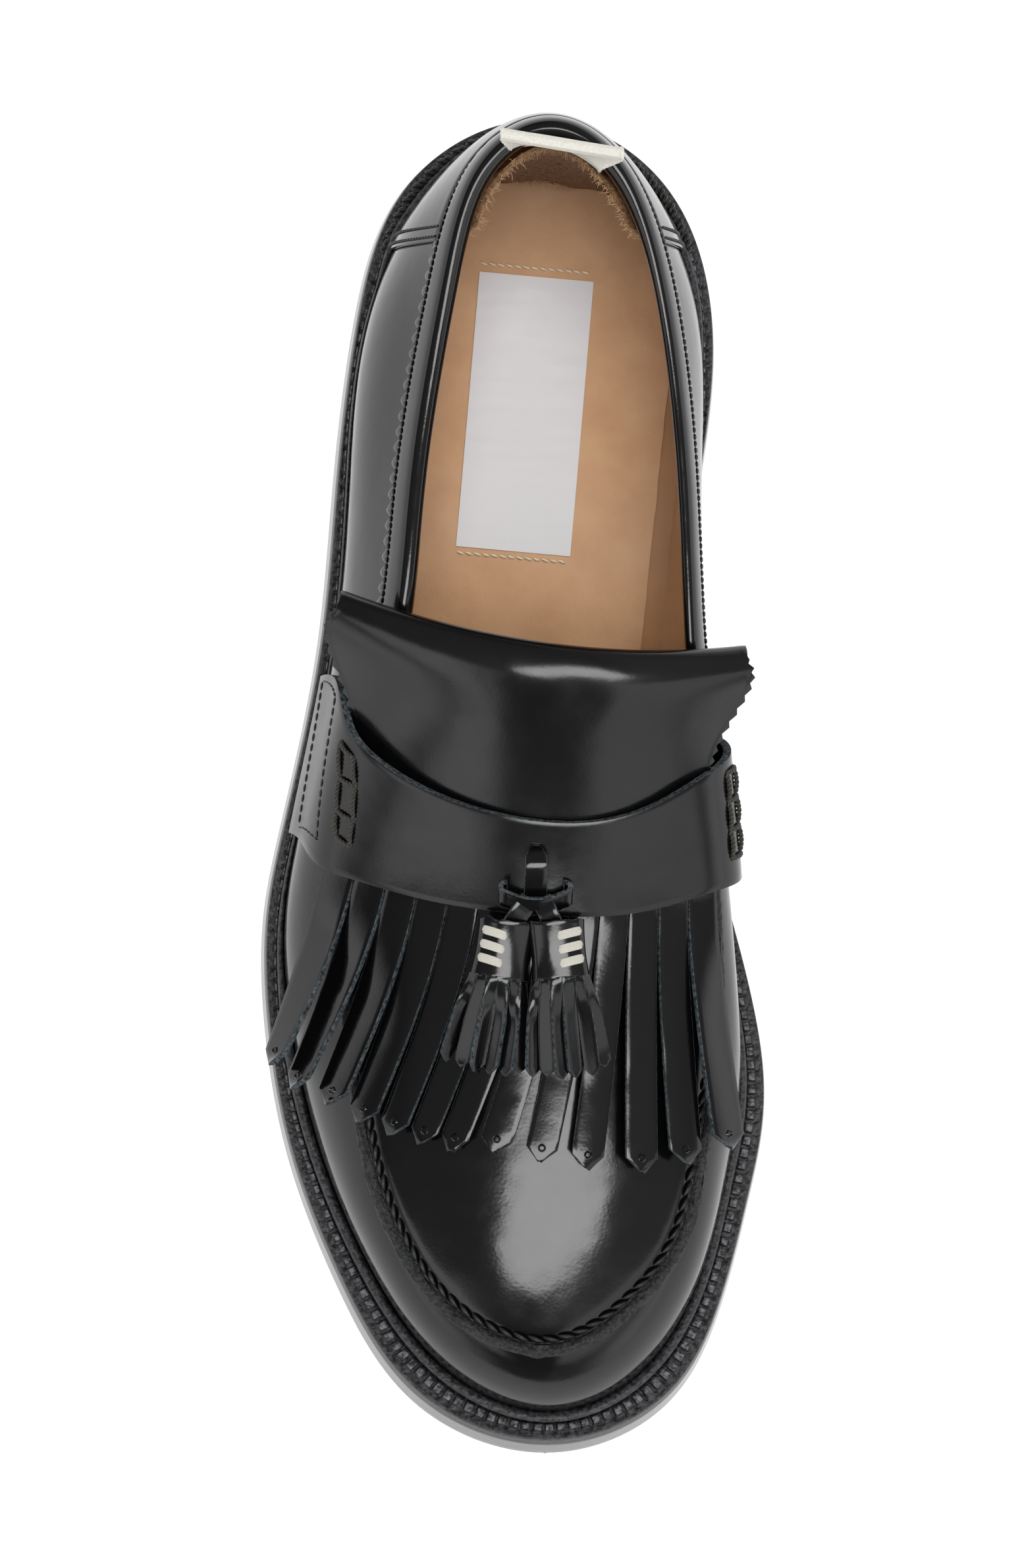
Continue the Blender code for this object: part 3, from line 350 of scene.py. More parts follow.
def face(piece, towards=None):
    """Turn the faces so that most look towards a direction, or away from the piece's middle."""
    polygons = piece.data.polygons
    normal, centre, area = np.empty(3 * len(polygons)), np.empty(3 * len(polygons)), np.empty(len(polygons))
    polygons.foreach_get("normal", normal)
    polygons.foreach_get("center", centre)
    polygons.foreach_get("area", area)
    centre = centre.reshape(-1, 3)
    away = centre - centre.mean(axis=0) if towards is None else np.array(towards, float)
    if np.sum(normal.reshape(-1, 3) * away * area[:, None]) < 0:
        edit_all(piece, bpy.ops.mesh.flip_normals)


# %% Sheets and their thickness
SAME_POINT = 1e-6
BEVEL_FROM = 55


def sheet(name, table, finishes, towards=None, closed=False):
    """Grid primitive moved onto rows of points; a closed one has the two ends of its rings merged."""
    rows, columns = table.shape[:2]
    bpy.ops.object.select_all(action="DESELECT")
    bpy.ops.mesh.primitive_grid_add(x_subdivisions=columns - 1, y_subdivisions=rows - 1, size=2)
    piece = bpy.context.object
    piece.name = piece.data.name = name
    flat = np.empty(3 * len(piece.data.vertices))
    piece.data.vertices.foreach_get("co", flat)
    across = np.rint((flat[0::3] + 1) / 2 * (columns - 1)).astype(int)
    along = np.rint((flat[1::3] + 1) / 2 * (rows - 1)).astype(int)
    piece.data.vertices.foreach_set("co", world(table)[along, across].ravel())
    piece.data.update()
    for finish in finishes:
        piece.data.materials.append(finish)
    if closed:
        edit_all(piece, bpy.ops.mesh.remove_doubles, threshold=SAME_POINT)
    face(piece, towards)
    return piece


def thicken(piece, thickness, side=-1, edge=0.0):
    """Give a sheet its leather, and the second material to its rim and the small bevels there."""
    rimmed = len(piece.data.materials) > 1
    shell = piece.modifiers.new("thickness", "SOLIDIFY")
    shell.thickness = thickness * MM
    shell.offset = side
    shell.use_even_offset = True
    shell.material_offset_rim = 1 if rimmed else 0
    if edge:
        bevel = piece.modifiers.new("edge", "BEVEL")
        bevel.width = edge * MM
        bevel.segments = 2
        bevel.limit_method = "ANGLE"
        bevel.angle_limit = np.radians(BEVEL_FROM)
        bevel.material = 1 if rimmed else -1
    only(piece)
    for modifier in list(piece.modifiers):
        bpy.ops.object.modifier_apply(modifier=modifier.name)


# %% Hand-over, threads and joins
def keep(piece, slot, *nodes, angle=40):
    """Shade a finished piece and hand it to the frame."""
    only(piece)
    bpy.ops.object.shade_smooth_by_angle(angle=np.radians(angle))
    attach(piece, "root")
    if nodes:
        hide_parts(*nodes)
    print(piece.name, len(piece.data.polygons), "faces")


def threads(name, lines, radius, finish, ends=0.5, belly=False):
    """Round threads along lines of points, thinner at their ends or swelling to the middle, as one mesh."""
    curve = bpy.data.curves.new(name, "CURVE")
    curve.dimensions = "3D"
    curve.bevel_depth = radius * MM
    curve.bevel_resolution = 1
    curve.use_fill_caps = True
    for line in lines:
        points = world(line)
        spline = curve.splines.new("POLY")
        spline.points.add(len(points) - 1)
        spline.points.foreach_set("co", np.column_stack([points, np.ones(len(points))]).ravel())
        size = np.ones(len(points))
        size[[0, -1]] = ends
        if belly:
            size = mixed(ends, 1.0, np.sin(np.pi * np.linspace(0, 1, len(points))) ** 0.7)
        spline.points.foreach_set("radius", size)
    piece = bpy.data.objects.new(name, curve)
    bpy.context.scene.collection.objects.link(piece)
    only(piece)
    bpy.ops.object.convert(target="MESH")
    piece = bpy.context.object
    piece.name = piece.data.name = name
    piece.data.materials.clear()
    piece.data.materials.append(finish)
    return piece


def join(name, pieces):
    """Make one piece of several."""
    only(pieces[0])
    for piece in pieces[1:]:
        piece.select_set(True)
    bpy.ops.object.join()
    joined = bpy.context.object
    joined.name = joined.data.name = name
    return joined


# %% Lines on a surface
def walk(line):
    """Distance along a line at each of its points."""
    return np.concatenate([[0], np.cumsum(np.linalg.norm(np.diff(line, axis=0), axis=1))])


def along_line(line, at):
    """Points at distances along a line."""
    far = walk(line)
    return np.stack([np.interp(at, far, line[:, i]) for i in range(3)], axis=-1)


def stitches(line, up, pitch, length, rise, slant=0.0, steps=5):
    """Short raised arcs along a line that lies on a surface whose normals are up."""
    far = walk(line)
    rows = []
    for middle in np.arange(pitch / 2, far[-1], pitch):
        share = np.linspace(-0.5, 0.5, steps)
        base = along_line(line, np.clip(middle + share * length, 0, far[-1]))
        ahead = unit(base[-1] - base[0])
        normal = unit(np.array([np.interp(middle, far, up[:, i]) for i in range(3)]))
        aside = np.cross(normal, ahead)
        arch = rise * (1 - (2 * share) ** 2)
        rows.append(base + normal * arch[:, None] + aside * (slant * share)[:, None])
    return rows


STEPS_PER_TWIST = 8


def plies(line, radius, pitch):
    """Two strands that wind round a line, for twisted cord."""
    length = walk(line)[-1]
    steps = max(int(length / pitch * STEPS_PER_TWIST), 4)
    core = along_line(line, np.linspace(0, length, steps))
    ahead = unit(np.gradient(core, axis=0))
    aside = unit(np.cross(ahead, np.array([0.0, 0.0, 1.0]) + 1e-3))
    over = np.cross(aside, ahead)
    turn = 2 * np.pi * np.linspace(0, length, steps) / pitch
    strands = []
    for angle in (turn, turn + np.pi):
        strands.append(core + radius * (np.cos(angle)[:, None] * aside + np.sin(angle)[:, None] * over))
    return strands


SEED = 11
RANDOM = np.random.default_rng(SEED)
print("random draws start from seed", SEED)

# %% [markdown]
# ## Finishes
# Each material starts from the real one. The shoe's leather is corrected-grain calf that is plated and
# polished until it mirrors the studio, so its look is nearly all reflection: black dye, a hard smooth face,
# and a faint grain that breaks the edges of the highlights. The strap and the kiltie are cut from a suppler,
# slightly duller hide. Cut rims show blue-grey fibre. Patterns read Object coordinates, which are metres,
# so a scale is one divided by the size of the grain in metres.


# %% One function for nodes, one for colours
def colour(code):
    """Linear colour of an sRGB hex value."""
    channels = [int(code[i:i + 2], 16) / 255 for i in (0, 2, 4)]
    linear = [c / 12.92 if c <= 0.04045 else ((c + 0.055) / 1.055) ** 2.4 for c in channels]
    return (*linear, 1.0)


def add(tree, kind, settings=None, links=None):
    """Add a node, set its properties, and give its sockets values or links."""
    node = tree.nodes.new(kind)
    for name, value in (settings or {}).items():
        setattr(node, name, value)
    for name, value in (links or {}).items():
        if isinstance(value, bpy.types.NodeSocket):
            tree.links.new(value, node.inputs[name])
        else:
            node.inputs[name].default_value = value
    return node


def grains(size_mm):
    """Texture scale for a pattern of a real size on Object coordinates."""
    return 1000.0 / size_mm


def start(name, base, roughness, **sockets):
    """New Principled material; sockets are values on the shader itself."""
    material = bpy.data.materials.new(name)
    material.use_nodes = True
    shader = material.node_tree.nodes["Principled BSDF"]
    shader.inputs["Base Color"].default_value = colour(base)
    shader.inputs["Roughness"].default_value = roughness
    for socket, value in sockets.items():
        shader.inputs[socket.replace("_", " ")].default_value = value
    place = add(material.node_tree, "ShaderNodeTexCoord").outputs["Object"]
    return material, material.node_tree, shader, place


def speckle(tree, shader, place, size_mm, dark, light, detail=4.0, spread=(0.35, 0.65)):
    """Two shades mixed by noise of a real size, as the base colour."""
    links = {"Vector": place, "Scale": grains(size_mm), "Detail": detail}
    noise = add(tree, "ShaderNodeTexNoise", None, links)
    ramp = add(tree, "ShaderNodeValToRGB", None, {"Fac": noise.outputs["Fac"]})
    for stop, at, code in zip(ramp.color_ramp.elements, spread, (dark, light)):
        stop.position = at
        stop.color = colour(code)
    tree.links.new(ramp.outputs["Color"], shader.inputs["Base Color"])
    return noise


def relief(tree, shader, layers):
    """Bumps on top of each other: pairs of a height socket and its real depth in millimetres."""
    normal = None
    for height, depth_mm in layers:
        links = {"Height": height, "Distance": depth_mm * MM, "Strength": 1.0}
        if normal is not None:
            links["Normal"] = normal
        normal = add(tree, "ShaderNodeBump", None, links).outputs["Normal"]
    tree.links.new(normal, shader.inputs["Normal"])


# %% Polished calf and its cut edge
def polished_calf(name, smoothest, roughest):
    """Black plated calf: mirror-like, with pores of 0.7 mm and a slight waviness of the hide."""
    material, tree, shader, place = start(name, "080809", smoothest, IOR=1.5)
    hide = add(tree, "ShaderNodeTexNoise", None, {"Vector": place, "Scale": grains(16), "Detail": 2.0})
    pores = {"Vector": place, "Scale": grains(0.7)}
    grain = add(tree, "ShaderNodeTexVoronoi", {"feature": "SMOOTH_F1"}, pores)
    wear = add(tree, "ShaderNodeTexNoise", None, {"Vector": place, "Scale": grains(5), "Detail": 5.0})
    levels = {"From Min": 0.3, "From Max": 0.75, "To Min": smoothest, "To Max": roughest}
    dulled = add(tree, "ShaderNodeMapRange", None, {"Value": wear.outputs["Fac"], **levels})
    tree.links.new(dulled.outputs["Result"], shader.inputs["Roughness"])
    relief(tree, shader, [(hide.outputs["Fac"], 0.20), (grain.outputs["Distance"], 0.007)])
    return material


def cut_edge():
    """Cut rim of dyed leather: matt blue-grey fibres, drawn at 0.9 mm so that they show."""
    material, tree, shader, place = start("cut_leather_edge", "3a4145", 0.95, Specular_IOR_Level=0.15)
    noise = speckle(tree, shader, place, 0.9, "23272a", "5d6468", 6.0, (0.36, 0.70))
    relief(tree, shader, [(noise.outputs["Fac"], 0.25)])
    return material


def rough_lip():
    """Gathered lip of the apron seam: dry black leather with grey fibres pulled out of it."""
    material, tree, shader, place = start("gathered_leather_lip", "1a1a1b", 0.62)
    noise = speckle(tree, shader, place, 0.8, "0d0d0e", "3a3b3c", 8.0, (0.42, 0.82))
    relief(tree, shader, [(noise.outputs["Fac"], 0.3)])
    return material


CALF = polished_calf("polished_black_calf", 0.11, 0.17)
SOFT_CALF = polished_calf("supple_black_calf", 0.16, 0.22)
EDGE = cut_edge()
LIP = rough_lip()
print("polished calf, its cut edge and the seam's lip")


# %% Welt, sole edge and threads
def waxed_welt(name, dark, light):
    """Waxed welt leather: dull black with a fine grain."""
    material, tree, shader, place = start(name, dark, 0.5)
    noise = speckle(tree, shader, place, 1.0, dark, light, 8.0, (0.38, 0.76))
    levels = {"Value": noise.outputs["Fac"], "To Min": 0.28, "To Max": 0.55}
    dulled = add(tree, "ShaderNodeMapRange", None, levels)
    tree.links.new(dulled.outputs["Result"], shader.inputs["Roughness"])
    relief(tree, shader, [(noise.outputs["Fac"], 0.35)])
    return material


def inked_edge():
    """Sole edge: sanded, inked and ironed, so it is glossy with fine streaks that run along it."""
    coat = {"Coat_Weight": 0.55, "Coat_Roughness": 0.12}
    material, tree, shader, place = start("inked_sole_edge", "161617", 0.2, **coat)
    flat = add(tree, "ShaderNodeMapping", None, {"Vector": place, "Scale": (0.06, 0.06, 1.0)})
    streaks = {"Vector": flat.outputs["Vector"], "Scale": grains(0.7), "Detail": 3.0}
    noise = add(tree, "ShaderNodeTexNoise", None, streaks)
    levels = {"Value": noise.outputs["Fac"], "To Min": 0.14, "To Max": 0.42}
    dulled = add(tree, "ShaderNodeMapRange", None, levels)
    tree.links.new(dulled.outputs["Result"], shader.inputs["Roughness"])
    relief(tree, shader, [(noise.outputs["Fac"], 0.05)])
    return material


def sole_rubber():
    """Underside: moulded rubber with a pebbled surface, a pebble every 1.6 mm."""
    material, tree, shader, place = start("moulded_sole_rubber", "19191a", 0.6)
    cells = add(tree, "ShaderNodeTexVoronoi", None, {"Vector": place, "Scale": grains(1.6)})
    relief(tree, shader, [(cells.outputs["Distance"], 0.3)])
    return material


def waxed_thread(name, base, roughness):
    """Waxed sewing thread, a little fibrous."""
    material, tree, shader, place = start(name, base, roughness)
    noise = add(tree, "ShaderNodeTexNoise", None, {"Vector": place, "Scale": grains(0.5), "Detail": 4.0})
    relief(tree, shader, [(noise.outputs["Fac"], 0.12)])
    return material


WELT = waxed_welt("waxed_welt_leather", "18181a", "4c4c4f")
# The paler copy for the tops of the welt's blocks is a painted highlight where they catch the light from
# above.
RIB_TOP_HIGHLIGHT = waxed_welt("rib_top_painted_highlight", "262627", "8a8a8d")
SOLE_EDGE = inked_edge()
RUBBER = sole_rubber()
BLACK_THREAD = waxed_thread("waxed_black_thread", "161616", 0.45)
CORD = waxed_thread("waxed_black_cord", "1f1e1c", 0.5)
LACE = waxed_thread("braided_black_lace", "393632", 0.62)
CREAM_THREAD = waxed_thread("cream_linen_thread", "e0d2b4", 0.7)
print("welt, sole edge, rubber and threads")


# %% Insole, lining, suede and cloth
def tan_leather(name, dark, light, size_mm):
    """Vegetable-tanned leather: warm tan, matt, with pores and soft blotches."""
    material, tree, shader, place = start(name, light, 0.55, Specular_IOR_Level=0.35)
    speckle(tree, shader, place, size_mm, dark, light, 6.0, (0.25, 0.7))
    pores = add(tree, "ShaderNodeTexVoronoi", None, {"Vector": place, "Scale": grains(0.8)})
    grain = add(tree, "ShaderNodeTexNoise", None, {"Vector": place, "Scale": grains(1.5), "Detail": 6.0})
    relief(tree, shader, [(grain.outputs["Fac"], 0.06), (pores.outputs["Distance"], 0.03)])
    return material


def heel_suede(name, dark, light):
    """Suede heel grip: brown, matt and hairy."""
    material, tree, shader, place = start(name, dark, 0.95)
    noise = speckle(tree, shader, place, 0.9, dark, light, 9.0, (0.3, 0.72))
    relief(tree, shader, [(noise.outputs["Fac"], 0.4)])
    return material


RADIANS_PER_SCALE = 20


def label_satin():
    """White woven satin with soft ribs: the wave turns one radian in 0.55 mm, so a rib is 3.5 mm wide."""
    material, tree, shader, place = start("white_label_satin", "dadadc", 0.55, Sheen_Weight=0.2)
    weave = {"Vector": place, "Scale": grains(0.55) / RADIANS_PER_SCALE, "Distortion": 0.4}
    ribs = add(tree, "ShaderNodeTexWave", {"bands_direction": "Y"}, weave)
    fold = add(tree, "ShaderNodeTexNoise", None, {"Vector": place, "Scale": grains(9), "Detail": 3.0})
    relief(tree, shader, [(fold.outputs["Fac"], 0.5), (ribs.outputs["Fac"], 0.03)])
    return material


def off_white_ribbon():
    """Grosgrain: close ribs across the ribbon, here as real ridges, with a soft dry thread."""
    material, tree, shader, place = start("off_white_grosgrain", "ebe7dc", 0.75, Sheen_Weight=0.25)
    noise = speckle(tree, shader, place, 0.5, "d9d6cc", "e6e3da", 3.0)
    relief(tree, shader, [(noise.outputs["Fac"], 0.04)])
    return material


INSOLE = tan_leather("tan_insole_leather", "bd926d", "cba37d", 11)
LINING = tan_leather("tan_lining_leather", "c69c74", "d8af86", 14)
BOARD = tan_leather("tan_board_leather", "98714f", "ac825d", 14)
SUEDE = heel_suede("brown_heel_suede", "5c422c", "a07a55")
FIBRE = heel_suede("pale_suede_fibre", "a9835c", "d9b78e")
SATIN = label_satin()
RIBBON_CLOTH = off_white_ribbon()
SILK = waxed_thread("off_white_silk", "cbc7bd", 0.5)
print("insole, lining, suede, satin, ribbon and silk")

# %% [markdown]
# ## Outsole and heel
# The outsole is a thick plate with a flat tread, an arch and a toe that springs up; the heel is a block of
# lifts under its back. One could extrude the outline and bevel it. Wrapping a ring-shaped grid from the
# middle of the underside, round the edge and back to the middle of the top keeps all of it in even strips.

# %% Outsole
AROUND = np.linspace(0, 1, 361)
EDGE_ROUND = 0.7
PLATE_SHARES = (0.0, 0.35, 0.7, 0.9)
DOWNWARD = -0.8


def middle_line(plan):
    """Points halfway between a ring's two sides."""
    return (plan + plan[::-1]) / 2


def outsole_table():
    """Rings from the middle of the underside, round the edge, to the middle of the top."""
    low, high = sole_edge(AROUND), leaning_edge(AROUND, OUTSOLE)
    inward = outward(AROUND) * EDGE_ROUND
    rings = []
    for share in PLATE_SHARES:
        plan = mixed(middle_line(low), low - inward, share)
        rings.append(np.column_stack([plan, sole_bottom(plan[:, 1])]))
    rings.append(np.column_stack([low - inward, sole_bottom(low[:, 1])]))
    rings.append(np.column_stack([low - inward * 0.3, sole_bottom(low[:, 1]) + 0.3 * EDGE_ROUND]))
    for above in np.linspace(EDGE_ROUND, OUTSOLE - EDGE_ROUND, 7):
        rings.append(np.column_stack([leaning_edge(AROUND, above), sole_bottom(low[:, 1]) + above]))
    rings.append(np.column_stack([high - inward * 0.3, sole_top(low[:, 1]) - 0.3 * EDGE_ROUND]))
    for share in (1.0, *reversed(PLATE_SHARES)):
        plan = mixed(middle_line(high), high - inward, share)
        rings.append(over_sole(plan, 0.0))
    return np.array(rings)


def rubber_below(piece):
    """Give the faces that look down the second material."""
    for polygon in piece.data.polygons:
        polygon.material_index = 1 if polygon.normal.z < DOWNWARD else 0


outsole = sheet("outsole_plate", outsole_table(), [SOLE_EDGE, RUBBER], closed=True)
rubber_below(outsole)
keep(outsole, "sole_edge", "outsole")

# %% Heel block with its lifts
HeelRing = namedtuple("HeelRing", "height inset")

HEEL_RINGS = (
    HeelRing(0.0, 3.3),
    HeelRing(0.5, 2.7),
    HeelRing(5.4, 2.1),
    HeelRing(5.7, 2.45),
    HeelRing(6.0, 2.0),
    HeelRing(10.4, 1.7),
    HeelRing(10.7, 2.0),
    HeelRing(11.0, 1.65),
    HeelRing(15.0, 1.4),
    HeelRing(15.3, 1.75),
    HeelRing(15.6, 1.35),
    HeelRing(19.65, 1.2),
)
heel_sides = [np.interp(HEEL_BREAST, sole_edge(turns)[:, 1], turns)
              for turns in (np.linspace(0.02, 0.4, 300), np.linspace(-0.02, -0.4, 300))]
heel_turns = np.linspace(heel_sides[1], heel_sides[0], 120)


def heel_ring(height, inset):
    """Outline of the heel at a height, with its hollow breast."""
    plan = sole_edge(heel_turns) - outward(heel_turns) * inset
    across = np.linspace(0, 1, 21)[1:-1, None]
    breast = mixed(plan[-1:], plan[:1], across)
    breast[:, 1] -= BREAST_HOLLOW * 4 * (across * (1 - across))[:, 0]
    ring = np.vstack([plan, breast, plan[:1]])
    return np.column_stack([ring, np.full(len(ring), height)])


heel_rings = np.array([heel_ring(*row) for row in HEEL_RINGS])
heel = sheet("heel_block", heel_rings, [SOLE_EDGE, RUBBER], closed=True)
only(heel)
bpy.ops.object.mode_set(mode="EDIT")
bpy.ops.mesh.select_all(action="DESELECT")
bpy.ops.mesh.select_mode(type="EDGE")
bpy.ops.mesh.select_non_manifold()
bpy.ops.mesh.edge_face_add()
bpy.ops.object.mode_set(mode="OBJECT")
edit_all(heel, bpy.ops.mesh.normals_make_consistent, inside=False)
rubber_below(heel)
keep(heel, "sole_edge", "heel", angle=30)

# %% [markdown]
# ## Storm welt
# The welt is a strip sewn round the foot. Its outer land is flat, then comes a band pressed into small blocks
# across it, a groove, and a bead that stands up against the upper to keep the water out. The tops of the
# blocks get a paler copy of the welt's leather, a painted highlight where they catch the light from above.
# The blocks could be an array along a curve; here they are columns of the same rings, raised and lowered,
# so that they bend with the toe.

# %% Welt with its ribs
WELT_EDGE = 4.0
WELT_RIB = 4.9
BEAD_HEIGHT = 7.8
BEAD_WIDTH = 2.4
BEAD_SHARE = 0.91
WELT_LAND = 1.7
LAND_ROUND = 0.3
WALL_CLEAR = 0.1
RIB_PITCH = 2.9
RIB_DEPTH = 1.3
HEEL_SMOOTH = 30.0
RIB_STEPS = ((0.0, 1.0), (0.10, 1.0), (0.22, 0.1), (0.5, 0.0), (0.78, 0.1), (0.90, 1.0))


def rib_turns():
    """Turns and groove depths of the welt's columns, a few for each rib."""
    turns = np.linspace(0, 1, 4001)
    length = walk(np.column_stack([leaning_edge(turns, OUTSOLE), np.zeros(len(turns))]))
    count = int(length[-1] / RIB_PITCH)
    wobble = RANDOM.uniform(-0.06, 0.06, count)
    at, depth = [], []
    for number in range(count):
        for share, low in RIB_STEPS:
            at.append((number + share + wobble[number] * (0 < share)) / count * length[-1])
            depth.append(low)
    at.append(length[-1])
    depth.append(1.0)
    return np.interp(at, length, turns), np.array(depth)


def welt_table():
    """Rings of the welt from the foot of the upper over bead, groove, ribs and land to the sole."""
    turns, groove = rib_turns()
    groove = np.where(leaning_edge(turns, OUTSOLE)[:, 1] < HEEL_SMOOTH, 0.0, groove)
    edge, low_edge = leaning_edge(turns, OUTSOLE + WELT_EDGE), leaning_edge(turns, OUTSOLE)
    out = outward(turns)
    low_wall = wall(turns, 0.0)[:, :2] + out * WALL_CLEAR
    bead_wall = wall(turns, BEAD_HEIGHT / wall_reach(turns) * BEAD_SHARE)[:, :2] + out * WALL_CLEAR
    low_wall = np.where((np.sum((bead_wall - low_wall) * out, axis=1) < 0)[:, None], bead_wall, low_wall)
    room = np.sum((edge - bead_wall) * out, axis=1)
    ribs = np.maximum(room - WELT_LAND, BEAD_WIDTH * 0.6)
    valley = np.minimum(BEAD_WIDTH, ribs - 0.6)
    band = np.maximum(ribs - valley, 0.3)
    top = WELT_RIB - RIB_DEPTH * groove

    def level(away, above):
        return over_sole(bead_wall + out * np.reshape(away, (-1, 1)), above)

    rings = [over_sole(low_wall, GAP), level(0.0, BEAD_HEIGHT - 1.6)]
    for angle in np.linspace(0.95 * np.pi, -0.15 * np.pi, 8):
        rings.append(level(valley * (0.5 + 0.5 * np.cos(angle)), BEAD_HEIGHT - 1.2 + 1.2 * np.sin(angle)))
    rings.append(level(valley + 0.05, WELT_EDGE - 0.5))
    rib_start, rib_end = mixed(WELT_EDGE - LAND_ROUND, top, 0.85), np.minimum(top, WELT_EDGE + 0.1)
    for share, above in ((0.12, rib_start), (0.25, top), (0.55, top + 0.1), (0.85, top), (0.98, rib_end)):
        rings.append(level(valley + share * band, above))
    rings.append(level(ribs + LAND_ROUND, WELT_EDGE - LAND_ROUND / 2))
    rings.append(level(mixed(ribs + LAND_ROUND, room - LAND_ROUND, 0.6), WELT_EDGE))
    rings.append(level(room - LAND_ROUND, WELT_EDGE))
    rings.append(over_sole(edge, WELT_EDGE - LAND_ROUND))
    rings.append(np.column_stack([mixed(edge, low_edge, 0.5), sole_top(edge[:, 1]) + WELT_EDGE / 2]))
    rings.append(over_sole(low_edge, 0.05))
    rings.append(rings[0])
    return np.array(rings)


RIB_RINGS = (12, 13)
welt_points = welt_table()
welt = sheet("storm_welt", welt_points, [WELT, RIB_TOP_HIGHLIGHT], closed=True)
columns = len(welt.data.polygons) // (len(welt_points) - 1)
rib_heights = welt_points[RIB_RINGS[0], :columns, 2] - sole_top(welt_points[RIB_RINGS[0], :columns, 1])
# The top faces of the blocks get the paler copy of the welt's leather: a painted highlight from the light
# above.
for ring in RIB_RINGS:
    for column_number in np.flatnonzero(rib_heights > WELT_RIB - RIB_DEPTH / 2):
        welt.data.polygons[ring * columns + int(column_number)].material_index = 1
keep(welt, "welt_leather", "welt", angle=50)

# %% [markdown]
# ## Upper
# Quarters and toe wall are one band of calf that is pulled over the last and bulges at the waist. The apron
# is the panel on top. Both are thin sheets with the lining glued behind them. The lining is tan leather, with
# a suede piece at the back that grips the heel and whose torn edge shows its hairs.

# %% Quarters and toe wall
QUARTER_LEATHER = 1.4
WALL_SHARES = np.linspace(0, 1, 46)
wall_points = wall(AROUND[None, :], WALL_SHARES[:, None])
upper_wall = sheet("quarters_and_toe", wall_points, [CALF, EDGE], closed=True)
thicken(upper_wall, QUARTER_LEATHER)
keep(upper_wall, "polished_leather", "upper")

# %% Apron
APRON_LEATHER = 1.3
APRON_ROWS = 120
APRON_COLUMNS = 73
GROOVE_DEPTH = 1.0
GROOVE_WIDTH = 1.7
APRON_TIP = 0.3
toe_station = wall(0.5, 1.0)[1] - APRON_TIP
apron_stations = THROAT + (toe_station - THROAT) * np.sin(np.linspace(0, np.pi / 2, APRON_ROWS))
vamp_turns = np.linspace(0.2, 0.5, 800)
apron_turns = np.interp(apron_stations, perimeter(vamp_turns)[:, 3], vamp_turns)
seam_turns = np.linspace(turn_at(THROAT), turn_at(THROAT, inner=True), 900)
seam_line = wall(seam_turns, 1.0)


def apron_table(sink):
    """Rows across the apron, its rim drawn down into the seam."""
    share = np.linspace(0, 1, APRON_COLUMNS)[None, :, None]
    outer, inner = wall(apron_turns, 1.0)[:, None], wall(1 - apron_turns, 1.0)[:, None]
    table = mixed(outer, inner, share)
    rise = [end[..., 2] - apron(end[..., 0], end[..., 1]) for end in (outer, inner)]
    table[..., 2] = apron(table[..., 0], table[..., 1]) + mixed(rise[0], rise[1], share[..., 0])
    flat = table[..., :2].reshape(-1, 2)
    near = np.array([np.min(np.hypot(*(seam_line[:, :2] - point).T)) for point in flat])
    near = near.reshape(table.shape[:2])
    table[..., 2] -= sink + GROOVE_DEPTH * np.exp(-(near / GROOVE_WIDTH) ** 2)
    return table


apron_points = apron_table(0.0)
apron_piece = sheet("apron_panel", apron_points, [CALF, EDGE], towards=(0, 0, 1), closed=True)
thicken(apron_piece, APRON_LEATHER)
keep(apron_piece, "polished_leather")

# %% Lining inside quarters and vamp
LINING_DEPTH = 1.7
LINING_LEATHER = 0.45
VAMP_SINK = 1.55
lining_shares = np.linspace(0.015, 0.985, 30)
inside = wall(AROUND[None, :], lining_shares[:, None])
inside = inside - wall_normal(AROUND[None, :], lining_shares[:, None]) * LINING_DEPTH
lining = sheet("quarter_lining", inside, [LINING], closed=True)
edit_all(lining, bpy.ops.mesh.flip_normals)
thicken(lining, LINING_LEATHER, side=1)
keep(lining, "insole_leather")
vamp_points = apron_table(VAMP_SINK)[:-6:2, 2:-2:2]
vamp_lining = sheet("vamp_lining", vamp_points, [LINING], towards=(0, 0, -1))
thicken(vamp_lining, LINING_LEATHER, side=1)
keep(vamp_lining, "insole_leather")

# %% Suede heel grip and the hairs of its torn edge
GRIP_FRONT = 34.0
GRIP_BACK = 15.8
GRIP_SLANT = 0.16
GRIP_LEATHER = 0.6
GRIP_SHOW = 2.1
GLUE_DEPTH = 2.5
HAIRS = 900
grip_ends = turn_at(GRIP_FRONT, inner=True) - 1, turn_at(GRIP_FRONT)
grip_shares = np.linspace(0.10, 0.95, 30)
grip_turns = np.linspace(*grip_ends, 110)
ahead = np.where(grip_turns < 0, grip_turns / grip_ends[0], grip_turns / grip_ends[1])
loose = (1 - smooth(ahead, 0.40, 0.75))[:, None]
shelf_reach = mixed(2.4, 3.85, smooth(grip_turns, -0.10, -0.02))[:, None] + GRIP_SHOW
shelf = wall(grip_turns, 0.94) - wall_normal(grip_turns, 0.94) * shelf_reach
curtain_foot = GRIP_BACK + GRIP_SLANT * np.maximum(shelf[:, 0], 0)
grip_table = []
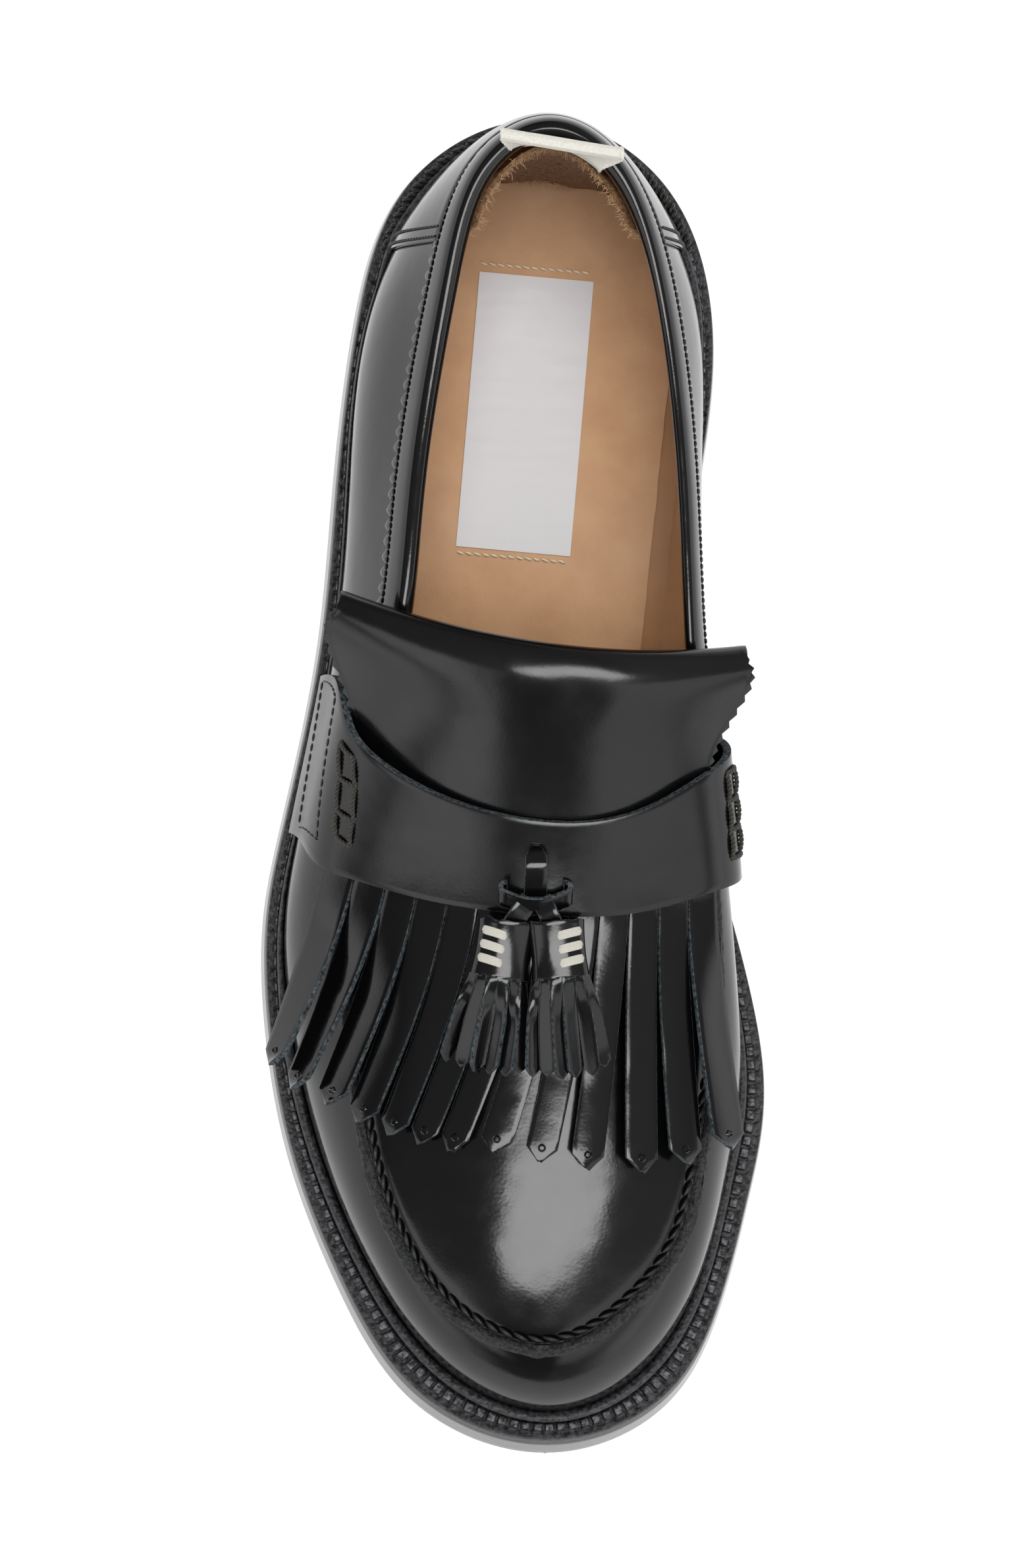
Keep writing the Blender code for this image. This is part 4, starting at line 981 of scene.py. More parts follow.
for share in grip_shares:
    glued = wall(grip_turns, share) - wall_normal(grip_turns, share) * GLUE_DEPTH
    curtain = np.maximum(mixed(curtain_foot, shelf[:, 1], share), glued[:, 1])
    cup = np.column_stack([shelf[:, 0], curtain, glued[:, 2]])
    rolled = smooth(share, 0.66, 0.95) * (1 - smooth(ahead, 0.93, 1.0))[:, None]
    grip_table.append(mixed(mixed(glued, cup, loose), shelf, rolled))
grip_table = np.array(grip_table)
grip = sheet("heel_grip", grip_table, [SUEDE], towards=(0, -1, 0))
thicken(grip, GRIP_LEATHER, side=-1)
keep(grip, "insole_leather", angle=60)
torn_sides = np.vstack([grip_table[-10:, 1], grip_table[-10:, -2]])
torn = np.vstack([torn_sides, grip_table[-1], grip_table[-2], grip_table[1, 35:75]])
hairs = []
for root in torn[RANDOM.integers(0, len(torn), HAIRS)]:
    bend = RANDOM.normal(0, 0.4, 3) + (-0.03 * root[0], 0.3, 0.2)
    hairs.append(np.array([root, root + bend, root + bend * 1.5 + RANDOM.normal(0, 0.25, 3)]))
fuzz = threads("heel_grip_hairs", hairs, 0.06, FIBRE)
keep(fuzz, "insole_leather")

# %% [markdown]
# ## Apron seam
# The toe wall is gathered up outside the apron and both are sewn through by hand, which leaves a rough raised
# lip and a row of thick slanted stitches inside it. The lip is a narrow band of its own whose surface is
# roughened with random heights, and each stitch is one arc of waxed cord that swells at its middle.

# %% Raised lip
LIP_BACK = 158.0
LIP_DROPS = (2.9, 2.65, 2.35, 2.0, 1.65, 1.3, 0.95, 0.6, 0.3, 0.05)
LIP_HEIGHTS = (0.05, 0.6, 1.0, 1.2, 1.3, 1.35, 1.3, 1.1, 0.65, 0.1)
lip_turns = np.linspace(turn_at(LIP_BACK), turn_at(LIP_BACK, inner=True), 760)
lip_reach = wall_reach(lip_turns)


def rough(count, spread, size):
    """Random heights that are smooth over a few neighbours."""
    values = RANDOM.normal(0, size, count + 2 * spread)
    kernel = np.hanning(2 * spread + 1)
    return np.convolve(values, kernel / np.linalg.norm(kernel), "same")[spread:-spread]


lip_table = []
for drop, height in zip(LIP_DROPS, LIP_HEIGHTS):
    raised = height > 0.2
    shares = np.minimum(1 - (drop + 0.12 * rough(len(lip_turns), 9, 1.0) * raised) / lip_reach, 1.0)
    lift = height + (rough(len(lip_turns), 3, 0.07) + rough(len(lip_turns), 14, 0.06)) * raised
    lip_table.append(wall(lip_turns, shares) + wall_normal(lip_turns, shares) * lift[:, None])
lip = sheet("apron_seam_lip", np.array(lip_table), [LIP], towards=(0, 0, 1))
keep(lip, "polished_leather", angle=70)

# %% Slanted stitches along the apron
STITCH_PITCH = 3.4
SEAM_INSET = 1.0
SEAM_RISE = 0.15
seam_path_turns = np.linspace(turn_at(LIP_BACK), turn_at(LIP_BACK, inner=True), 900)
seam_path = wall(seam_path_turns, 1.0)
seam_path[:, :2] -= outward(seam_path_turns) * SEAM_INSET
seam_path[:, 2] += SEAM_RISE
slope = 2 * ridge_values(seam_path[:, 1])[1] * (seam_path[:, 0] - ridge_values(seam_path[:, 1])[2])
seam_up = unit(np.column_stack([slope, np.full(len(slope), 0.2), np.ones(len(slope))]))
seam_strands = stitches(seam_path, seam_up, STITCH_PITCH, length=3.5, rise=0.5, slant=1.1, steps=9)
seam_stitches = threads("apron_seam_stitches", seam_strands, 0.5, CORD, ends=0.25, belly=True)
keep(seam_stitches, "polished_leather")

# %% [markdown]
# ## Counter and collar binding
# The counter is laid over the back of the quarters and sewn down at its front edge with two close rows. The
# binding folds over the collar's rim: outside its lower edge is pinked into small scallops beside a row of
# stitches, on top it is a soft roll, and inside it ends in a thin bead.

# %% Counter
COUNTER_FRONT = 34.6
BINDING_DROP = 9.0
COUNTER_LEAN = 3.6
COUNTER_COLUMNS = 150
COUNTER_LEATHER = 0.9
COUNTER_FOOT = 7.6
COUNTER_TUCK = 1.5
counter_turns = np.linspace(turn_at(COUNTER_FRONT, inner=True) - 1, turn_at(COUNTER_FRONT), COUNTER_COLUMNS)
counter_reach = wall_reach(counter_turns)
counter_low = COUNTER_FOOT / counter_reach
counter_high = 1 - (BINDING_DROP - COUNTER_TUCK) / counter_reach


def front_turn(share, setback, inner):
    """Turn where the wall, at a share of its height, meets the counter's front less a setback."""
    turns = np.linspace(0.02, 0.2, 240) * (-1 if inner else 1)
    stations = wall(turns, np.full(len(turns), share))[:, 1]
    return np.interp(COUNTER_FRONT - COUNTER_LEAN * (0.8 - share) - setback, stations, turns)


counter_table = []
for share in np.linspace(0, 1, 24):
    middle = mixed(counter_low, counter_high, share).mean()
    turns = np.linspace(front_turn(middle, 0.0, True), front_turn(middle, 0.0, False), COUNTER_COLUMNS)
    row = mixed(counter_low, counter_high, share)
    counter_table.append(wall(turns, row) + wall_normal(turns, row) * WALL_CLEAR)
counter = sheet("counter_panel", np.array(counter_table), [CALF, CALF])
thicken(counter, COUNTER_LEATHER, side=1, edge=0.3)
keep(counter, "polished_leather", "heel_counter")

# %% Two rows of stitches at each end of the counter
counter_stitches = []
for inner in (True, False):
    for setback in (1.0, 3.2):
        shares = np.linspace(counter_low[0], counter_high[0] - 0.01, 60)
        turns = np.array([front_turn(share, setback, inner) for share in shares])
        up = wall_normal(turns, shares)
        line = wall(turns, shares) + up * 0.98
        counter_stitches += stitches(line, up, pitch=1.7, length=1.3, rise=0.32)
counter_thread = threads("counter_stitches", counter_stitches, 0.26, BLACK_THREAD)
keep(counter_thread, "polished_leather")

# %% Binding with scalloped edge
BINDING_END = 131.0
SCALLOP_PITCH = 3.45
SCALLOP_ROOT = 7.1
SCALLOP = 2.3
BINDING_STEPS = 8
BINDING_ROW = 6.3
FLAT_DROP = 5.8
BINDING_OUTSIDE = ((FLAT_DROP, 0.95), (4.6, 1.1), (3.0, 1.15), (1.5, 1.1), (0.4, 1.0))
BINDING_ROLL = ((0.9, 0.7), (1.6, 0.2), (2.0, -0.6), (1.95, -1.5), (1.6, -2.3), (1.05, -2.95), (0.45, -3.35))
BINDING_INSIDE = ((0.15, -3.6), (0.8, -3.8), (1.6, -3.85), (2.5, -3.7), (3.1, -3.2), (3.2, -2.5), (1.5, -2.4))
binding_ends = (turn_at(BINDING_END, inner=True) - 1, turn_at(BINDING_END))
coarse = np.linspace(*binding_ends, 800)
rim_length = walk(wall(coarse, 1.0))
scallops = int(rim_length[-1] / SCALLOP_PITCH)
binding_turns = np.interp(np.linspace(0, rim_length[-1], scallops * BINDING_STEPS + 1), rim_length, coarse)
tooth = np.abs(np.sin(np.pi * np.arange(len(binding_turns)) / BINDING_STEPS))
binding_reach = wall_reach(binding_turns)
rim = wall(binding_turns, 1.0)
rim_normal = wall_normal(binding_turns, 1.0)
rim_rise = unit(rim - wall(binding_turns, 0.9))
snug = mixed(0.62, 1.0, smooth(binding_turns, -0.10, -0.02))


def snugly(away):
    """Distance from the wall, which is shorter inside the shoe on its inner side."""
    return away if away > 0 else away * snug[:, None]


def flange(drop, away):
    """Line on the wall a distance below the rim and away from its surface."""
    share = 1 - drop / binding_reach
    return wall(binding_turns, share) + wall_normal(binding_turns, share) * snugly(away)


def over(above, away):
    """Line over the rim."""
    return rim + rim_rise * above + rim_normal * snugly(away)


hem = SCALLOP_ROOT + SCALLOP * tooth
binding_rows = [flange(hem, WALL_CLEAR), flange(hem + 0.05, 0.55), flange(hem - 0.2, 0.78)]
binding_rows += [flange(mixed(hem, FLAT_DROP, 0.3), 0.85), flange(mixed(hem, FLAT_DROP, 0.7), 0.88)]
binding_rows += [flange(*row) for row in BINDING_OUTSIDE]
binding_rows += [over(*row) for row in BINDING_ROLL]
binding_rows += [flange(*row) for row in BINDING_INSIDE]
binding_rows += [over(0.1, -0.8), flange(1.5, WALL_CLEAR), flange(5.0, WALL_CLEAR), flange(hem, WALL_CLEAR)]
binding = sheet("collar_binding_roll", np.array(binding_rows), [CALF], closed=True)
keep(binding, "polished_leather", "collar_binding", angle=60)

# %% Stitches of the binding
binding_line = flange(BINDING_ROW, 0.92)
binding_up = wall_normal(binding_turns, 1 - BINDING_ROW / binding_reach)
binding_line -= binding_up * (0.45 * (1 - smooth(np.abs(binding_turns), 0.03, 0.07)))[:, None]
binding_arcs = stitches(binding_line, binding_up, pitch=1.5, length=1.4, rise=0.22)
binding_thread = threads("binding_stitches", binding_arcs, 0.24, BLACK_THREAD)
keep(binding_thread, "polished_leather")

# %% Heavy stitches where the counter meets the welt
SEAT_INSET = 2.5
SEAT_ABOVE = 5.3
seat_turns = np.linspace(counter_turns[0] + 0.004, counter_turns[-1] - 0.004, 240)
seat_plan = leaning_edge(seat_turns, OUTSOLE + WELT_EDGE) - outward(seat_turns) * SEAT_INSET
seat_line = over_sole(seat_plan, SEAT_ABOVE)
seat_up = unit(np.column_stack([outward(seat_turns) * 0.3, np.ones(len(seat_turns))]))
seat_strands = []
for arc in stitches(seat_line, seat_up, pitch=3.9, length=4.9, rise=0.9, slant=1.7, steps=9):
    seat_strands += plies(arc, radius=0.5, pitch=3.0)
seat_thread = threads("heel_seat_stitches", seat_strands, 0.55, CORD)
keep(seat_thread, "polished_leather")

# %% [markdown]
# ## Insole and label
# The insole is a darker board that lies on the outsole. A paler leather sock covers it and stops short at the
# inner waist, where the board shows. A blank satin label lies on the sock at the heel, with a row of cream
# stitches before and behind it. The label is a thin sheet that follows the board's slope.

# %% Insole board
INSOLE_BOARD = 3.0
INSOLE_RAISE = 2 * GAP
INSOLE_INSET = 2.05
FOOT_INSET = 2.3
SOCK = 0.5
insole_edge = feather(AROUND)[:, :2] - outward(AROUND) * FOOT_INSET
rim_share = (INSOLE_RAISE + INSOLE_BOARD) / wall_reach(AROUND)
insole_rim = (wall(AROUND, rim_share) - wall_normal(AROUND, rim_share) * INSOLE_INSET)[:, :2]


def insole_top(at):
    """Height of the insole's upper side."""
    return sole_top(at) + INSOLE_RAISE + INSOLE_BOARD


insole_rings = []
for share in (0.0, 0.2, 0.4, 0.6, 0.8, 0.9, 0.97, 1.0):
    plan = mixed(middle_line(insole_rim), insole_rim, share)
    insole_rings.append(np.column_stack([plan, insole_top(plan[:, 1]) - SOCK + 0.5 * share ** 6]))
insole_rings.append(over_sole(insole_edge, INSOLE_RAISE))
insole_rings.append(over_sole(middle_line(insole_edge), INSOLE_RAISE))
insole = sheet("insole_board", np.array(insole_rings), [BOARD], closed=True)
keep(insole, "insole_leather", "insole")

# %% Insole sock
SOCK_STATIONS = (40.0, 68.0, 135.0, 165.0)
SOCK_EDGE = (31.0, 27.7, 21.1, 33.0)
sock_rim = insole_rim.copy()
waist_edge = np.interp(sock_rim[:, 1], SOCK_STATIONS, SOCK_EDGE) - np.abs(rough(len(AROUND), 2, 0.08))
sock_rim[:, 0] = np.minimum(sock_rim[:, 0], waist_edge)
sock_rings = []
for share in (0.0, 0.2, 0.4, 0.6, 0.8, 0.9, 0.96, 1.0):
    plan = mixed(middle_line(insole_rim), sock_rim, share)
    sock_rings.append(np.column_stack([plan, insole_top(plan[:, 1]) + 0.3 * share ** 6]))
sock = sheet("insole_sock", np.array(sock_rings), [INSOLE], closed=True, towards=(0, 0, 1))
thicken(sock, SOCK)
keep(sock, "insole_leather")

# %% Label and its two rows of stitches
LABEL_BACK = 36.5
LABEL_FRONT = 98.0
LABEL_WIDTH = 25.5
LABEL_OUT = (-1.0, -6.2)
LABEL_ROWS = 60
LABEL_COLUMNS = 25
label_tilt = (LABEL_OUT[0] - LABEL_OUT[1]) / (LABEL_FRONT - LABEL_BACK)


def label_line(at, above):
    """Line across the label at a station, a height above the insole."""
    side = np.linspace(-1, 1, LABEL_COLUMNS) * (LABEL_WIDTH / 2)
    out = np.interp(at, (LABEL_BACK, LABEL_FRONT), LABEL_OUT) + side
    station = at + side * label_tilt
    return np.column_stack([out, station, insole_top(station) + above])


label_table = np.array([label_line(at, 0.45) for at in np.linspace(LABEL_BACK, LABEL_FRONT, LABEL_ROWS)])
label_table[..., 2] += 0.06 * rough(LABEL_ROWS * LABEL_COLUMNS, 9, 1.0).reshape(LABEL_ROWS, LABEL_COLUMNS)
label = sheet("insole_label_satin", label_table, [SATIN], towards=(0, 0, 1))
thicken(label, 0.3)
keep(label, "ribbon", "insole_label")
label_rows = []
for at in (LABEL_BACK - 1.9, LABEL_FRONT + 1.3):
    row = label_line(at, 0.12)
    up = np.tile((0.0, 0.0, 1.0), (len(row), 1))
    label_rows += stitches(row, up, pitch=1.9, length=1.55, rise=0.4, slant=0.45)
label_thread = threads("label_stitches", label_rows, 0.33, CREAM_THREAD)
keep(label_thread, "insole_leather")

# %% [markdown]
# ## Kiltie
# The kiltie is a tongue that is folded over at its top, passes under the strap and is slit into a fringe. Its
# sides are pinked. The body, the roll and the layer folded under it are one sheet; each strip of the fringe
# is a narrow sheet that narrows to a point and gets a pinhole. Strips at the sides lean outwards. Cut rims
# stay grey.

# %% Tables of the kiltie
TRIM = 1.2
KiltieRow = namedtuple("KiltieRow", "name outer_at outer_out middle_at inner_at inner_out lift flare")

KILTIE = (
    KiltieRow("roll", 114.5, -45.5, 127.0, 126.5, 42.6, 5.5, 0.0042),
    KiltieRow("wing", 121.0, -48.0, 134.0, 132.5, 43.0, 5.0, 0.0034),
    KiltieRow("neck", 136.5, -42.4, 146.0, 147.0, 35.5, 2.9, 0.0007),
    KiltieRow("strap", 152.0, -44.0, 164.0, 161.0, 36.8, 1.5, 0.0002),
    KiltieRow("root", 168.5, -47.8, 182.5, 176.0, 37.3, 1.5, 0.0),
)
Tip = namedtuple("Tip", "at out rise lean")

TIPS = (
    Tip(213.5, -59.4, 3.0, 2.4),
    Tip(219.0, -54.6, 2.0, 1.9),
    Tip(222.5, -47.0, 1.0, 1.3),
    Tip(226.5, -40.3, 0.8, 0.8),
    Tip(229.5, -33.6, 0.8, 0.45),
    Tip(231.5, -27.2, 0.8, 0.2),
    Tip(233.0, -20.6, 0.8, 0.0),
    Tip(233.5, -11.6, 0.8, 0.0),
    Tip(235.5, -1.6, 0.8, 0.0),
    Tip(237.0, 8.6, 0.8, 0.0),
    Tip(237.5, 20.8, 0.8, -0.2),
    Tip(235.5, 30.6, 0.8, -0.6),
    Tip(232.0, 40.2, 1.5, -1.3),
)
KILTIE_TABLE = np.stack([column(KILTIE, name) for name in KiltieRow._fields[1:]], axis=1)
BODY_REACH = 60.0
STRIP_REACH = 34.0
ROLL_RADIUS = 2.3
UNDERLAY = 12.0


def kiltie_height(out, at, lift, flare, reach=BODY_REACH):
    """Height of the kiltie's underside over the apron, straight past the drape's reach."""
    height, arch, centre = ridge_values(at)
    side = np.abs(out - centre)
    bent = np.minimum(side, reach)
    return height - arch * bent ** 2 - 2 * arch * reach * (side - bent) + lift + flare * side ** 2


def kiltie_row(knot, share):
    """Points across the kiltie at a place between the rows of its table."""
    values = cubic(np.arange(len(KILTIE)), KILTIE_TABLE, np.array(float(knot)))
    outer_at, outer_out, middle_at, inner_at, inner_out, lift, flare = values
    out = mixed(outer_out, inner_out, share)
    bow = middle_at - (outer_at + inner_at) / 2
    at = mixed(outer_at, inner_at, share) + bow * 4 * share * (1 - share)
    return np.column_stack([out, at, kiltie_height(out, at, lift, flare)])


print("rows of the kiltie:", len(KILTIE), "and strips of its fringe:", len(TIPS))

# %% Body, roll and pinked sides
PINK = 0.85
PINK_PITCH = 2.4
KILTIE_END = 3.55
FOLD_DIP = 1.5
FOLD_REACH = 7.0
KILTIE_COLUMNS = 121
across = np.linspace(0, 1, KILTIE_COLUMNS)


def folded_row(knot):
    """Row of the body, drawn down towards the fold and a little wavy there."""
    row = kiltie_row(knot, across)
    from_fold = row[KILTIE_COLUMNS // 2, 1] - KILTIE[0].middle_at
    near = np.clip(1 - from_fold / FOLD_REACH, 0, 1) ** 2
    waves = 0.14 * np.sin(across * 13 + 1.0) + 0.05 * np.sin(across * 31)
    dent = 0.6 * np.exp(-((across - 0.60) / 0.07) ** 2) * np.exp(-((from_fold - 7) / 5) ** 2)
    row[:, 2] += waves * np.exp(-(from_fold / 9) ** 2) - FOLD_DIP * near - dent
    return row


first = folded_row(0.0)
roll = []
for share in np.linspace(1, 0.15, 8):
    under = first + (0.0, UNDERLAY * share, -2 * ROLL_RADIUS - 2.0 * share)
    under[:, 0] *= 1 - 0.12 * share
    roll.append(under)
for angle in np.linspace(np.pi, 0, 14, endpoint=False):
    roll.append(first + (0.0, -ROLL_RADIUS * np.sin(angle), ROLL_RADIUS * (np.cos(angle) - 1)))
body_knots = np.linspace(0, KILTIE_END, 200)
body_length = walk(np.array([kiltie_row(knot, np.array([0.5]))[0] for knot in body_knots]))
teeth = int(body_length[-1] / PINK_PITCH)
even_knots = np.interp(np.linspace(0, body_length[-1], 2 * teeth + 1), body_length, body_knots)
body = [folded_row(knot) for knot in even_knots]
kiltie_points = np.array(roll + body)
jag = np.where((np.arange(len(kiltie_points)) - len(roll)) % 2 == 0, PINK, 0.0)
jag[:len(roll)] = PINK / 2
kiltie_points[:, 0, 0] -= jag
kiltie_points[:, -1, 0] += jag
kiltie = sheet("kiltie_tongue", kiltie_points, [SOFT_CALF, EDGE], towards=(0, 0, 1))
thicken(kiltie, TRIM, side=1, edge=0.15)
keep(kiltie, "polished_leather", "kiltie")

# %% Plan of a fringe strip
STRIP_WIDTH = 7.2
STRIP_POINT = 3.0
STRIP_ROOM = 0.92
STRIP_ROWS = 27
STRIP_COLUMNS = 7
SLIT_KNOT = 3.3
ROOT_KNOT = 4.0
ROOT_SHARE = 0.2
POINT_SHARES = (0.25, 0.5, 0.75, 1.0)
POINT_TAPER = 0.93
strip_outs = column(TIPS, "out")


def strip_plan(number, tip):
    """Plan of a strip from its slit to its point, the place where the point begins, and its direction."""
    shares = np.array([number, number + 1]) / len(TIPS)
    hidden, root = kiltie_row(SLIT_KNOT, shares)[:, :2], kiltie_row(ROOT_KNOT, shares)[:, :2]
    end = np.array([tip.out, tip.at])
    ahead = unit(end - root.mean(axis=0))
    aside = np.array([ahead[1], -ahead[0]])
    aside = aside if aside[0] > 0 else -aside
    room = np.abs(strip_outs - tip.out)
    width = min(STRIP_WIDTH, STRIP_ROOM * np.min(room[room > 0]))
    neck = end - ahead * STRIP_POINT
    edges = []
    for side, sign in enumerate((-1, 1)):
        corners = np.array([hidden[side], root[side], neck + aside * sign * width / 2])
        edges.append(cubic([0.0, ROOT_SHARE, 1.0], corners, np.linspace(0, 1, STRIP_ROWS)))
    rows = list(zip(*edges))
    for share in POINT_SHARES:
        middle = neck + ahead * STRIP_POINT * share
        half = aside * width / 2 * (1 - POINT_TAPER * share)
        rows.append((middle - half, middle + half))
    over_width = np.linspace(0.02, 0.98, STRIP_COLUMNS)[:, None]
    return np.array([mixed(left, right, over_width) for left, right in rows]), neck, ahead

# %% Fringe strips
STRIP_BOW = 0.5
STRIP_CLIMB = 1.7
OVER_LIP = 1.5
HOLE_BACK = 0.6
HOLE_RISE = 0.04


def strip_table(tip, plan):
    """Points of a strip: over the apron and its lip, bowed, leaning to its side, curled and a little wavy."""
    share = (np.arange(len(plan)) / (STRIP_ROWS - 1) - ROOT_SHARE) / (1 - ROOT_SHARE)
    share = np.clip(share, 0, 1)[:, None]
    side = np.linspace(-1, 1, STRIP_COLUMNS)[None, :]
    free = smooth(share, 0, 0.6)
    raised = smooth(np.abs(plan[..., 0]), 18, 32) * OVER_LIP + tip.rise + 0.8 * abs(tip.lean)
    bow = STRIP_BOW * np.sin(np.pi * np.clip(share / 0.66, 0, 1))
    lift = KILTIE[-1].lift + raised * free + bow + STRIP_CLIMB * share ** 1.5
    reach = mixed(BODY_REACH, STRIP_REACH, free)
    height = kiltie_height(plan[..., 0], plan[..., 1], lift, 0.0, reach)
    curl = RANDOM.uniform(0.05, 0.3) * side ** 2
    tilt = (tip.lean + RANDOM.uniform(-0.3, 0.3)) * side
    wave = RANDOM.uniform(0.05, 0.2) * np.sin(share * np.pi * RANDOM.uniform(1.2, 2.2) + RANDOM.uniform(0, 6))
    height = height + (tilt - curl + np.abs(wave)) * free
    return np.concatenate([plan, height[..., None]], axis=-1)


pin_spots = []
strips = []
for number, tip in enumerate(TIPS):
    plan, neck, ahead = strip_plan(number, tip)
    table = strip_table(tip, plan)
    strip = sheet(f"fringe_strip_{number}", table, [CALF, EDGE], towards=(0, 0, 1))
    thicken(strip, TRIM, side=1, edge=0.18)
    strips.append(strip)
    hole = neck - ahead * HOLE_BACK
    nearest = np.unravel_index(np.argmin(np.linalg.norm(table[..., :2] - hole, axis=-1)), table.shape[:2])
    up = np.cross(np.gradient(table, axis=0)[nearest], np.gradient(table, axis=1)[nearest])
    up = unit(up * np.sign(up[2]))
    pin_spots.append((table[nearest] + up * (TRIM + HOLE_RISE), up * (1, -1, 1)))
fringe = join("kiltie_fringe", strips)
keep(fringe, "polished_leather")

# %% Pinholes in the strips
PIN_RADIUS = 0.95
holes = []
for spot, up in pin_spots:
    bpy.ops.object.select_all(action="DESELECT")
    facing = Vector(up).to_track_quat("Z", "Y").to_euler()
    bpy.ops.mesh.primitive_circle_add(vertices=16, radius=PIN_RADIUS * MM, fill_type="NGON",
                                      location=world(spot), rotation=facing)
    hole = bpy.context.object
    bpy.ops.object.mode_set(mode="EDIT")
    bpy.ops.mesh.inset(thickness=0.26 * MM, depth=0.24 * MM)
    bpy.ops.mesh.inset(thickness=0.28 * MM, depth=-0.34 * MM)
    bpy.ops.object.mode_set(mode="OBJECT")
    bpy.ops.object.transform_apply(location=True, rotation=True, scale=True)
    hole.data.materials.append(CALF)
    holes.append(hole)
pinholes = join("fringe_pinholes", holes)
keep(pinholes, "polished_leather", angle=20)

# %% [markdown]
# ## Strap
# The strap crosses the instep and holds the kiltie down. It runs from low on the outer wall, over the apron,
# to low on the inner wall, and its middle tips forward a little. Its rims are cut and show grey fibre. The
# outer end is sewn down round a narrow panel, and braided lace is whipped through both sides like a ladder.

# %% Strap sheet
STRAP_LEATHER = 1.8
StrapRow = namedtuple("StrapRow", "across back front lift")

STRAP = (
    StrapRow(0.00, 127.0, 160.5, 0.6),
    StrapRow(0.10, 128.5, 163.5, 1.1),
    StrapRow(0.19, 135.0, 168.5, 4.0),
    StrapRow(0.25, 143.5, 171.5, 4.8),
    StrapRow(0.33, 152.5, 176.5, 4.2),
    StrapRow(0.50, 162.0, 182.0, 3.6),
    StrapRow(0.67, 157.5, 180.0, 4.1),
    StrapRow(0.75, 149.0, 175.0, 4.8),
    StrapRow(0.84, 143.5, 172.0, 1.4),
    StrapRow(1.00, 140.0, 170.0, 0.6),
)
STRAP_TABLE = np.stack([column(STRAP, name) for name in StrapRow._fields[1:]], axis=1)
STRAP_FOOT = 0.34
STRAP_SIDE = 0.25
STRAP_ROWS = 201
STRAP_COLUMNS = 19
STRAP_CANT = 1.2


def strap_line(across, at, lift):
    """Points over the upper at stations: outer wall, then apron, then inner wall."""
    lift = np.reshape(lift, (-1, 1))
    outer, inner = turn_at(at), turn_at(at, inner=True)
    if min(across, 1 - across) < STRAP_SIDE:
        turn = outer if across < STRAP_SIDE else inner
        share = mixed(STRAP_FOOT, 1, min(across, 1 - across) / STRAP_SIDE)
        return wall(turn, share) + wall_normal(turn, share) * lift
    share = (across - STRAP_SIDE) / (1 - 2 * STRAP_SIDE)
    ends = wall(outer, 1.0), wall(inner, 1.0)
    line = mixed(ends[0], ends[1], share)
    rise = [end[:, 2] - apron(end[:, 0], end[:, 1]) for end in ends]
    height, arch, centre = ridge_values(line[:, 1])
    lean = 2 * arch * (line[:, 0] - centre)
    line[:, 2] = height - arch * (line[:, 0] - centre) ** 2 + mixed(rise[0], rise[1], share)
    return line + unit(np.column_stack([lean, np.zeros(len(lean)), np.ones(len(lean))])) * lift


def strap_surface():
    """Strap's upper side, smoothed where wall and apron meet."""
    rows = []
    for across in np.linspace(0, 1, STRAP_ROWS):
        back, front, lift = cubic(column(STRAP, "across"), STRAP_TABLE, np.array(across))
        depth = np.linspace(0, 1, STRAP_COLUMNS)
        cant = STRAP_CANT * (0.45 - depth) * smooth(min(across, 1 - across), 0.2, 0.4)
        rows.append(strap_line(across, mixed(back, front, depth), lift + STRAP_LEATHER + cant))
    table = np.array(rows)
    for _ in range(60):
        table[1:-1] = table[1:-1] / 2 + (table[:-2] + table[2:]) / 4
    return table


strap_points = strap_surface()
strap_up = np.cross(np.gradient(strap_points, axis=0), np.gradient(strap_points, axis=1))
strap_up = unit(strap_up * np.sign(np.sum(strap_up[..., 2])))
strap = sheet("instep_strap", strap_points, [SOFT_CALF, EDGE], towards=(0, 0, 1))
thicken(strap, STRAP_LEATHER, edge=0.05)
keep(strap, "polished_leather", "strap", angle=25)

# %% Sewn panel
PANEL = ((0.025, 0.04), (0.075, 0.94), (0.195, 0.85), (0.145, 0.07), (0.025, 0.04))
PANEL_STEPS = 60


def strap_run(ends, steps):
    """Points and normals on the strap between two places, each a share across and a share to the front."""
    places = mixed(np.array(ends[0]), np.array(ends[1]), np.linspace(0, 1, steps)[:, None])
    places = places * (STRAP_ROWS - 1, STRAP_COLUMNS - 1)
    cell = np.clip(places.astype(int), 0, (STRAP_ROWS - 2, STRAP_COLUMNS - 2))
    row, place = cell.T
    past_row, past_place = (places - cell)[:, :1], (places - cell)[:, 1:]

    def pick(table):
        back = mixed(table[row, place], table[row + 1, place], past_row)
        front = mixed(table[row, place + 1], table[row + 1, place + 1], past_row)
        return mixed(back, front, past_place)

    return pick(strap_points), unit(pick(strap_up))


panel_rows = []
for ends in zip(PANEL, PANEL[1:]):
    line, up = strap_run(ends, PANEL_STEPS)
    panel_rows += stitches(line, up, pitch=2.3, length=1.9, rise=0.12)
panel_thread = threads("strap_panel_stitches", panel_rows, 0.2, BLACK_THREAD)
keep(panel_thread, "polished_leather")

